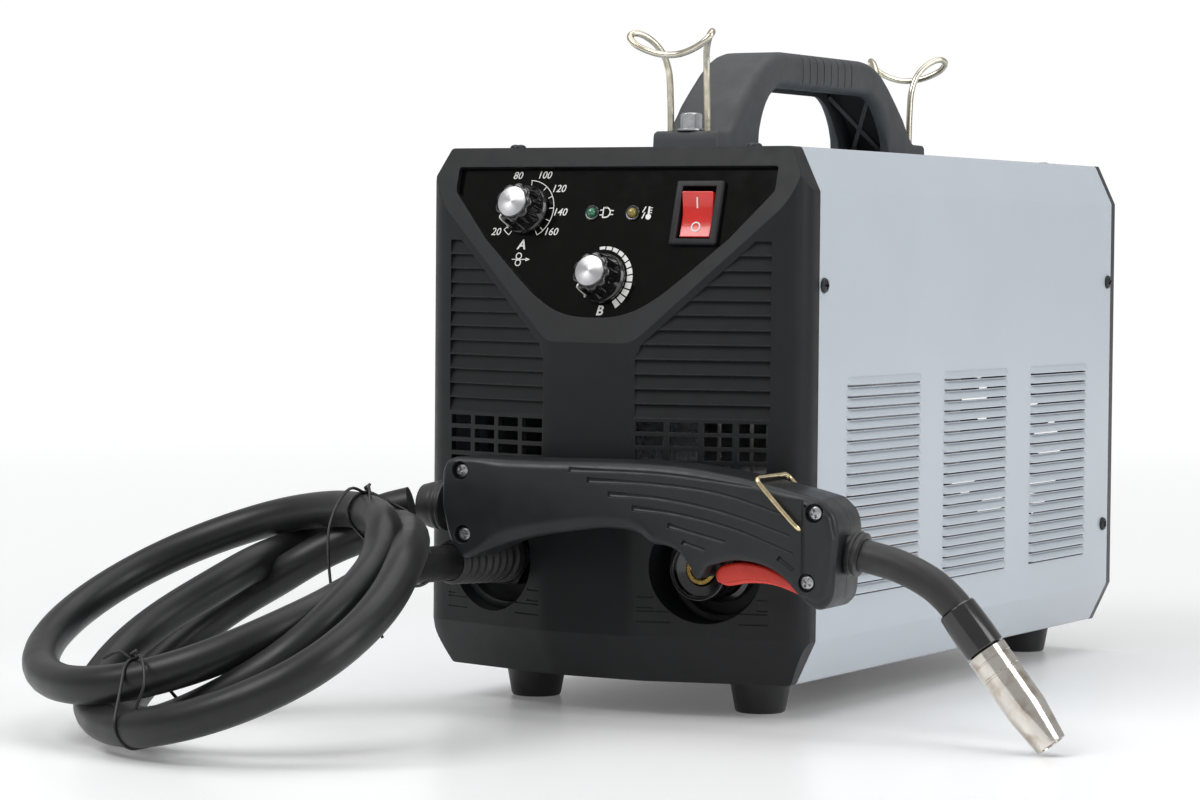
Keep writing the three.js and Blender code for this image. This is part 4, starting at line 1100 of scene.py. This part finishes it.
def torch_rests():
    """Two bent wires that the torch hangs in, and the bolts that hold them and the handle."""
    for name, side in (("front", -1), ("rear", 1)):
        route = HOOK + [(-x, y, z) for x, y, z in reversed(HOOK)]
        points = [(x, HANDLE_Y + side * (HOOK_Y - y), CASE_TOP + z) for x, y, z in route]
        put(f"rest_wire_{name}", tube(spline(points, 200), HOOK_WIRE, 20), WIRE,
            replaces=f"torch_rest_{name}",
            smooth=60)
        y = HANDLE_Y + side * BOLT_Y
        head = prism(hexagon(5.6, 12), 279.4, 288)
        head = boolean(head, lathe([(0, 270), (6, 270), (6, 286.8), (4.6, 288), (0, 288)], 48), "INTERSECT")
        washer = rod(7.2, 279.2, 280.2, 48)
        put(f"handle_screw_{name}", merged(head, washer), ZINC, Matrix.Translation((0, y, 0)),
            replaces=f"handle_bolt_{name}", bevel=0.25, smooth=30)


# ---------------------------------------------------------------- screws
def screw_mesh(radius, height):
    """A domed head with a cross recess."""
    dome = [(0, -2), (radius * 0.5, -2), (radius * 0.5, 0), (radius, 0), (radius, height * 0.35),
            (radius * 0.86, height * 0.75), (radius * 0.55, height * 0.97), (0, height)]
    head = lathe(dome, 36)
    arm, wide = radius * 0.62, radius * 0.16
    cross = [(arm, wide), (wide, wide), (wide, arm), (-wide, arm), (-wide, wide), (-arm, wide), (-arm, -wide),
             (-wide, -wide), (-wide, -arm), (wide, -arm), (wide, -wide), (arm, -wide)]
    return boolean(head, prism(cross, height * 0.25, height + 1))


def screw(name, at, radius, height, material, body="case"):
    put(name, screw_mesh(radius, height), material, at, body, bevel=0.12, smooth=30)


def case_screws():
    """Four screws in each side and two along each upper edge."""
    for side, out in (("right", 1), ("left", -1)):
        for i, (y, z) in enumerate(((23.7, 204.3), (383.5, 205), (380.8, 71.3), (23.7, 71))):
            screw(f"side_screw_{side}_{i}", aim((out * CASE_HALF, y, z), (out, 0, 0), 0.4 * i), 3.6, 2.0,
                  BLACK_STEEL)
        for i, y in enumerate((25.5, 381)):
            screw(f"top_screw_{side}_{i}", aim((out * 64.5, y, CASE_TOP), (0, 0, 1), 0.5 + i), 3.9, 2.1,
                  BLACK_STEEL)


# ---------------------------------------------------------------- torch
def torch_outline():
    """The torch handle's side view: tail, back, nose, trigger gap, hook and palm."""
    start = [(5.5, 100), (5.6, 108), (5.8, 116), (7.6, 120.6), (12, 122.8)]
    top = spline([(12, 122.8), (55, 122.6), (98, 123), (127, 122), (155, 118.4), (182, 113), (196, 109.4)],
                 60)
    end = spline([(196, 109.4), (202.4, 103), (204.4, 92), (203, 77), (201.4, 64.5), (196, 60), (189, 62.5)],
                 26)
    under = spline([(189, 62.5), (176, 75), (166, 79.3), (153, 80.4), (141, 77.5)], 20)
    hook = spline([(141, 77.5), (136.5, 71), (132.8, 76.6)], 9)
    palm = spline([(132.8, 76.6), (127, 83), (120, 85.6), (112, 86.2), (104.4, 90.6), (91.6, 92.2), (70, 90),
                   (41, 84.4), (22, 77.2)], 60)
    tail = spline([(22, 77.2), (18.4, 75.6), (14.4, 77.4), (9.6, 85), (5.5, 100)], 14)
    whole = [tuple(p) for part in (start, top, end, under, hook, palm, tail) for p in part]
    points = np.array([p for i, p in enumerate(whole) if i == 0 or math.dist(p, whole[i - 1]) > 0.05])
    return even(np.vstack([points, points[:1]]), 300)[:-1]


GRIP_LINES = [
    [(71.6, 119.0), (118, 118.4), (163, 114.2)],
    [(80.9, 114.4), (114.5, 113.7), (147.3, 110.4), (183, 100.5)],
    [(91.6, 108.4), (118.7, 107.1), (150.1, 101.8), (181.5, 92.6)],
    [(103.7, 102.5), (125.9, 100.5), (154.4, 94.6), (183, 84.7)],
    [(121.6, 95.3), (133, 92.6), (150.1, 88.7)],
    [(128.7, 88), (140.1, 84.7)],
    [(175.9, 82.8), (183.7, 77.5)],
]
TORCH_SCREWS = ((15.4, 116.6), (16.9, 86.9), (193.6, 103.4), (190.2, 72.2))


def torch_handle():
    """Two moulded halves with grip grooves, a trigger pocket and four screws."""
    outline = torch_outline()

    def radius(x, z):
        if x < 30:
            return 2.8
        if x > 184:
            return 3.0
        if z < 100 and x < 112:
            return 7.5
        if z < 84 and 128 < x < 143:
            return 1.3
        if z < 100 and x > 118:
            return 3.6
        return 5.0

    for name, sign in (("front", 1), ("back", -1)):
        body = slab(outline, TORCH_HALF, radius, low=0.12, steps=8)
        end_block = slab(rounded([(186.5, 66), (196, 61.6), (201, 66), (202.6, 77), (203.6, 92), (201.6, 102),
                                  (195.5, 108), (186.5, 110.5)], 4, 5), TORCH_HALF + 1.3, 3.4, low=8, steps=6)
        body = boolean(body, end_block, "UNION")
        pocket = prism([(138.5, 60), (178.5, 60), (178.5, 99), (138.5, 99)], -1, 7.3)
        heel = prism([(170, 50), (192, 50), (192, 77), (170, 77)], -1, 7.3)
        for tool in (pocket, heel):
            body = boolean(body, tool)
        swell = [1.5 - 0.5 * min(1, k / 5) for k in range(26)]
        grooves = [tube([(x, z, TORCH_HALF + 0.25) for x, z in spline(line, 26)], swell,
                        10) for line in GRIP_LINES]
        body = boolean(body, merged(*grooves))
        if sign > 0:
            for x, z in TORCH_SCREWS:
                deep = 12.6 if x < 100 else 14.2
                sink = lathe([(0, deep), (4.2, deep), (4.5, 25), (0, 25)], 40)
                body = boolean(body, moved(sink, Matrix.Translation((x, z, 0))))
        if sign < 0:  # the far half is the near one mirrored
            bmesh.ops.scale(body, vec=(1, 1, -1), verts=body.verts)
            bmesh.ops.reverse_faces(body, faces=body.faces)
        put(f"torch_shell_{name}", body, TORCHY, TORCH @ DEPTH_UP, replaces=f"torch_half_{name}", smooth=26)
    for i, (x, z) in enumerate(TORCH_SCREWS):
        deep = 12.8 if x < 100 else 14.4
        at = TORCH @ aim((x, -deep, z), (0, -1, 0), 0.5 + 0.7 * i)
        screw(f"torch_screw_{i}", at, 3.5, 2.0, STEEL)


def trigger():
    """The curved red lever, with a fine groove along each side."""
    outline = [(142, 69.6), (141.2, 73), (143, 76.4), (149, 78.6), (157, 79), (166, 77.4), (176, 73.2),
               (187, 67.2),
               (188.4, 65), (187, 63), (180, 66.2), (169, 69.4), (157, 69.6), (147, 68)]
    dense = spline(outline + outline[:1], 90)[:-1]
    body = slab(dense, 6.5, 1.6, steps=5)
    line = spline([(146, 69.6), (157, 71.4), (169, 71.0), (181, 66.9)], 24)
    grooves = [tube([(x, z, side * 6.6) for x, z in line], 0.35, 6) for side in (-1, 1)]
    put("trigger_lever", boolean(body, merged(*grooves)), TRIGGER, TORCH @ DEPTH_UP, "trigger",
        replaces="torch_trigger", smooth=30)


def hanger():
    """The wire loop that the torch hangs by."""
    half = [(187, 13.5, 96), (187, 17.4, 96), (186.2, 18.8, 97), (184.5, 19, 98.5), (169, 19, 114.5),
            (166.8, 18.6, 116.9), (165.8, 16.2, 118.3)]
    other = [(x, -y, z) for x, y, z in reversed(half)]
    crossing = [(165.8, 11, 118.4), (165.8, -11, 118.4)]
    put("hanger_wire", tube(spline(half + crossing + other, 150), 1.15, 16), GOLD, TORCH, "hanger",
        replaces="torch_hanger", smooth=60)


def torch_front():
    """The tail boot, the bent neck with its collar, and the nozzle with its sleeve and tip."""
    boot = [(8, -14), (8, 2), (10.6, 4.4), (11.8, 5), (12, 6), (11.6, 6.6), (11.6, 7.4), (12, 8), (12, 9),
            (11.4, 9.8),
            (11.4, 10.8), (11.2, 12), (10.8, 13.6), (10.4, 15), (9.6, 17.8), (9.0, 18)]
    put("torch_tail_boot", lathe([(0, -14)] + boot + [(0, 18)], 48), RUBBER,
        TORCH @ aim((6, 0, 98.6), (-1, 0, 0.02)), replaces="torch_boot", smooth=40)
    axis = Vector((math.cos(NECK_DIP), 0, math.sin(NECK_DIP)))
    start = [(184, 0, 90.3), (196, 0, 87.6), (207, 0, 85), (228, 0, 80), (243.5, 0, 72.8)]
    line = start + [tuple(Vector(NECK_END) + axis * d) for d in (-11, -5, 0.6)]
    put("torch_swan_neck", tube(spline(line, 90), 7.4, 40), RUBBER, TORCH, replaces="torch_neck", smooth=60)
    collar = [(7.8, -0.6), (10.0, -0.6), (10.4, 0), (10.4, 1.4), (9.6, 1.9), (9.6, 2.5), (10.2, 3.0),
              (10.2, 4.0),
              (9.0, 4.6), (7.8, 4.6)]
    put("torch_neck_ring", lathe(collar, 48), RUBBER, TORCH @ aim((206.2, 0, 85.2), (0.975, 0, -0.22)),
        replaces="neck_collar", smooth=35)
    at = TORCH @ aim(NECK_END, axis)
    sleeve = [(7.8, 1), (7.8, -8), (8.2, -8.4), (8.9, -7.6), (9.2, -2), (9.5, 6), (9.5, 13.6), (9.2, 14.1),
              (7, 14.3),
              (7, 22), (6.4, 22), (6.4, 1)]
    put("nozzle_insulator", lathe(sleeve, 56), KNOB, at, replaces="nozzle_sleeve", bevel=0.2, smooth=30)
    nozzle = [(7.4, 14.8), (9.1, 14.8), (9.4, 15.1), (9.4, 19.3), (9.15, 19.5), (9.15, 20.0), (9.4, 20.2),
              (9.4, 26.0),
              (9.1, 26.2), (9.1, 27.0), (9.4, 27.3), (9.4, 46), (9.1, 49), (7.3, 64.2), (7.0, 64.9),
              (5.9, 64.9),
              (5.8, 64.4), (7.0, 49), (7.4, 46)]
    put("nozzle_body", lathe(nozzle, 72), NICKEL, at, replaces="torch_nozzle", smooth=24)
    tip = [(0, 22.4), (4, 22.4), (4, 56), (3.6, 58), (2.6, 61.5), (2.2, 62), (0.7, 62), (0.7, 58), (0, 58)]
    put("wire_tip", lathe(tip, 40), COPPER, at, replaces="contact_tip", smooth=30)


# ---------------------------------------------------------------- feet
def feet():
    profile = [(0, 0), (10.9, 0), (11.6, 0.3), (12.2, 1.2), (14.6, 14.4), (15, 15.6), (15, 16.7), (0, 16.7)]
    for x, side in ((-62, "left"), (62, "right")):
        for y, end in ((43, "front"), (366, "rear")):
            put(f"rubber_foot_{end}_{side}", lathe(profile, 56), RUBBER, Matrix.Translation((x, y, 0)),
                replaces=f"foot_{end}_{side}", smooth=30)


# ---------------------------------------------------------------- carried-over nodes
CAD_FINISH = {
    COVER: ["side_door", "base_plate"],
    BLACK_STEEL: ["door_latch", "rear_panel"],
    KNOB: ["mains_gland", "fan_rotor", "fan_frame", "trigger_switch"],
    BOARD: ["main_board"],
    ALUMINIUM: ["heat_sink"],
    COPPER: ["transformer"],
    ZINC: ["divider_wall", "feed_motor", "spool_spindle"],
    SPOOL: ["wire_spool"],
    GOLD: ["welding_wire"],
    STEEL: ["drive_roll", "pressure_roll", "wire_guide", "potentiometer_current", "potentiometer_voltage"],
    PANEL: ["pressure_arm"],
    TRIGGER: ["tension_knob"],
}


def carried_over():
    """CAD nodes that keep their shape get a finish and slightly rounded edges."""
    for material, names in CAD_FINISH.items():
        for name in names:
            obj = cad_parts[name]
            obj.data.materials.clear()
            obj.data.materials.append(material)
            m = obj.modifiers.new("weld", "WELD")
            m.merge_threshold = 1e-5
            m = obj.modifiers.new("edge", "BEVEL")
            m.width, m.segments, m.limit_method = 0.0004, 2, "ANGLE"
            m.angle_limit = math.radians(32)


# ---------------------------------------------------------------- stage and light
def plain(name, colour):
    """A stage material that also gives a little light, and its shader."""
    m = bpy.data.materials.new(name)
    m.use_nodes = True
    shader = m.node_tree.nodes["Principled BSDF"]
    shader.inputs["Base Color"].default_value = (*colour, 1)
    shader.inputs["Emission Color"].default_value = (1, 1, 1, 1)
    return m, shader


def stage():
    """A pale floor with painted light that grows brighter with distance, and a white dome that only the
    camera sees.
    """
    floor = bpy.data.meshes.new("floor")
    size = 6.0
    floor.from_pydata([(-size, -size, 0), (size, -size, 0), (size, size, 0), (-size, size, 0)], [],
                      [(0, 1, 2, 3)])
    obj = placed("floor", floor)
    m, shader = plain("floor", (0.90, 0.905, 0.91))
    shader.inputs["Roughness"].default_value = 0.28
    place = m.node_tree.nodes.new("ShaderNodeTexCoord")
    far = m.node_tree.nodes.new("ShaderNodeVectorMath")
    far.operation = "LENGTH"
    # painted light: the floor's own glow, stronger further from its middle
    glow = m.node_tree.nodes.new("ShaderNodeMapRange")
    for i, value in zip(range(1, 5), (0.5, 3.0, 0.10, 0.52)):
        glow.inputs[i].default_value = value
    m.node_tree.links.new(place.outputs["Object"], far.inputs[0])
    m.node_tree.links.new(far.outputs["Value"], glow.inputs[0])
    m.node_tree.links.new(glow.outputs[0], shader.inputs["Emission Strength"])
    floor.materials.append(m)
    world = bpy.data.worlds.new("world")
    bpy.context.scene.world = world
    world.use_nodes = True
    background = world.node_tree.nodes["Background"]
    background.inputs["Color"].default_value = (1, 1, 1, 1)
    background.inputs["Strength"].default_value = 0.5
    dome = bmesh.new()
    bmesh.ops.create_uvsphere(dome, u_segments=48, v_segments=24, radius=12)
    bmesh.ops.reverse_faces(dome, faces=dome.faces)
    mesh = bpy.data.meshes.new("backdrop")
    dome.to_mesh(mesh)
    dome.free()
    white, shader = plain("backdrop", (0, 0, 0))
    shader.inputs["Emission Strength"].default_value = 1.0
    mesh.materials.append(white)
    obj = placed("backdrop", mesh)
    obj.visible_diffuse = obj.visible_glossy = obj.visible_shadow = False
    bpy.context.scene.view_settings.view_transform = "Standard"


def light(name, at, target, size, power):
    data = bpy.data.lights.new(name, "AREA")
    data.shape, data.size, data.size_y = "RECTANGLE", size[0], size[1]
    data.energy = power
    at, target = Vector(at), Vector(target)
    placed(name, data).matrix_world = aim(at, at - target)


front_panel()
cover()
louvre_hoods()
control_plate()
for knob_name, knob_place in KNOBS.items():
    knob(knob_name, knob_place)
led("power", LEDS["power"], GREEN)
led("fault", LEDS["fault"], AMBER)
power_switch()
sockets()
carry_handle()
torch_rests()
case_screws()
torch_handle()
trigger()
hanger()
torch_front()
feet()
tie("tie_upper", (-56, -92, 84), 34,
    [[(0, 0, -1), (-3, -10, 2), (-6, -22, -14), (4, -34, -50), (8, -36, -66)],
     [(0, 0, -1), (6, -8, 3), (14, -18, -16), (18, -24, -52), (23, -22, -64)]])
tie("tie_lower", (-92, -236, 17), 34,
    [[(0, 0, -1), (8, -6, 2), (16, -14, -8), (14, -18, -20)], [(0, 0, -1), (-5, -4, 3), (-12, -6, 0)]])
carried_over()
stage()
light("key", (-0.9, -1.6, 1.9), (0, 0.1, 0.1), (1.4, 1.0), 26)
light("side", (2.2, -0.4, 1.2), (0.1, 0.2, 0.1), (1.2, 1.6), 22)
light("top", (0, 0.2, 2.3), (0, 0.2, 0), (2.2, 2.2), 22)
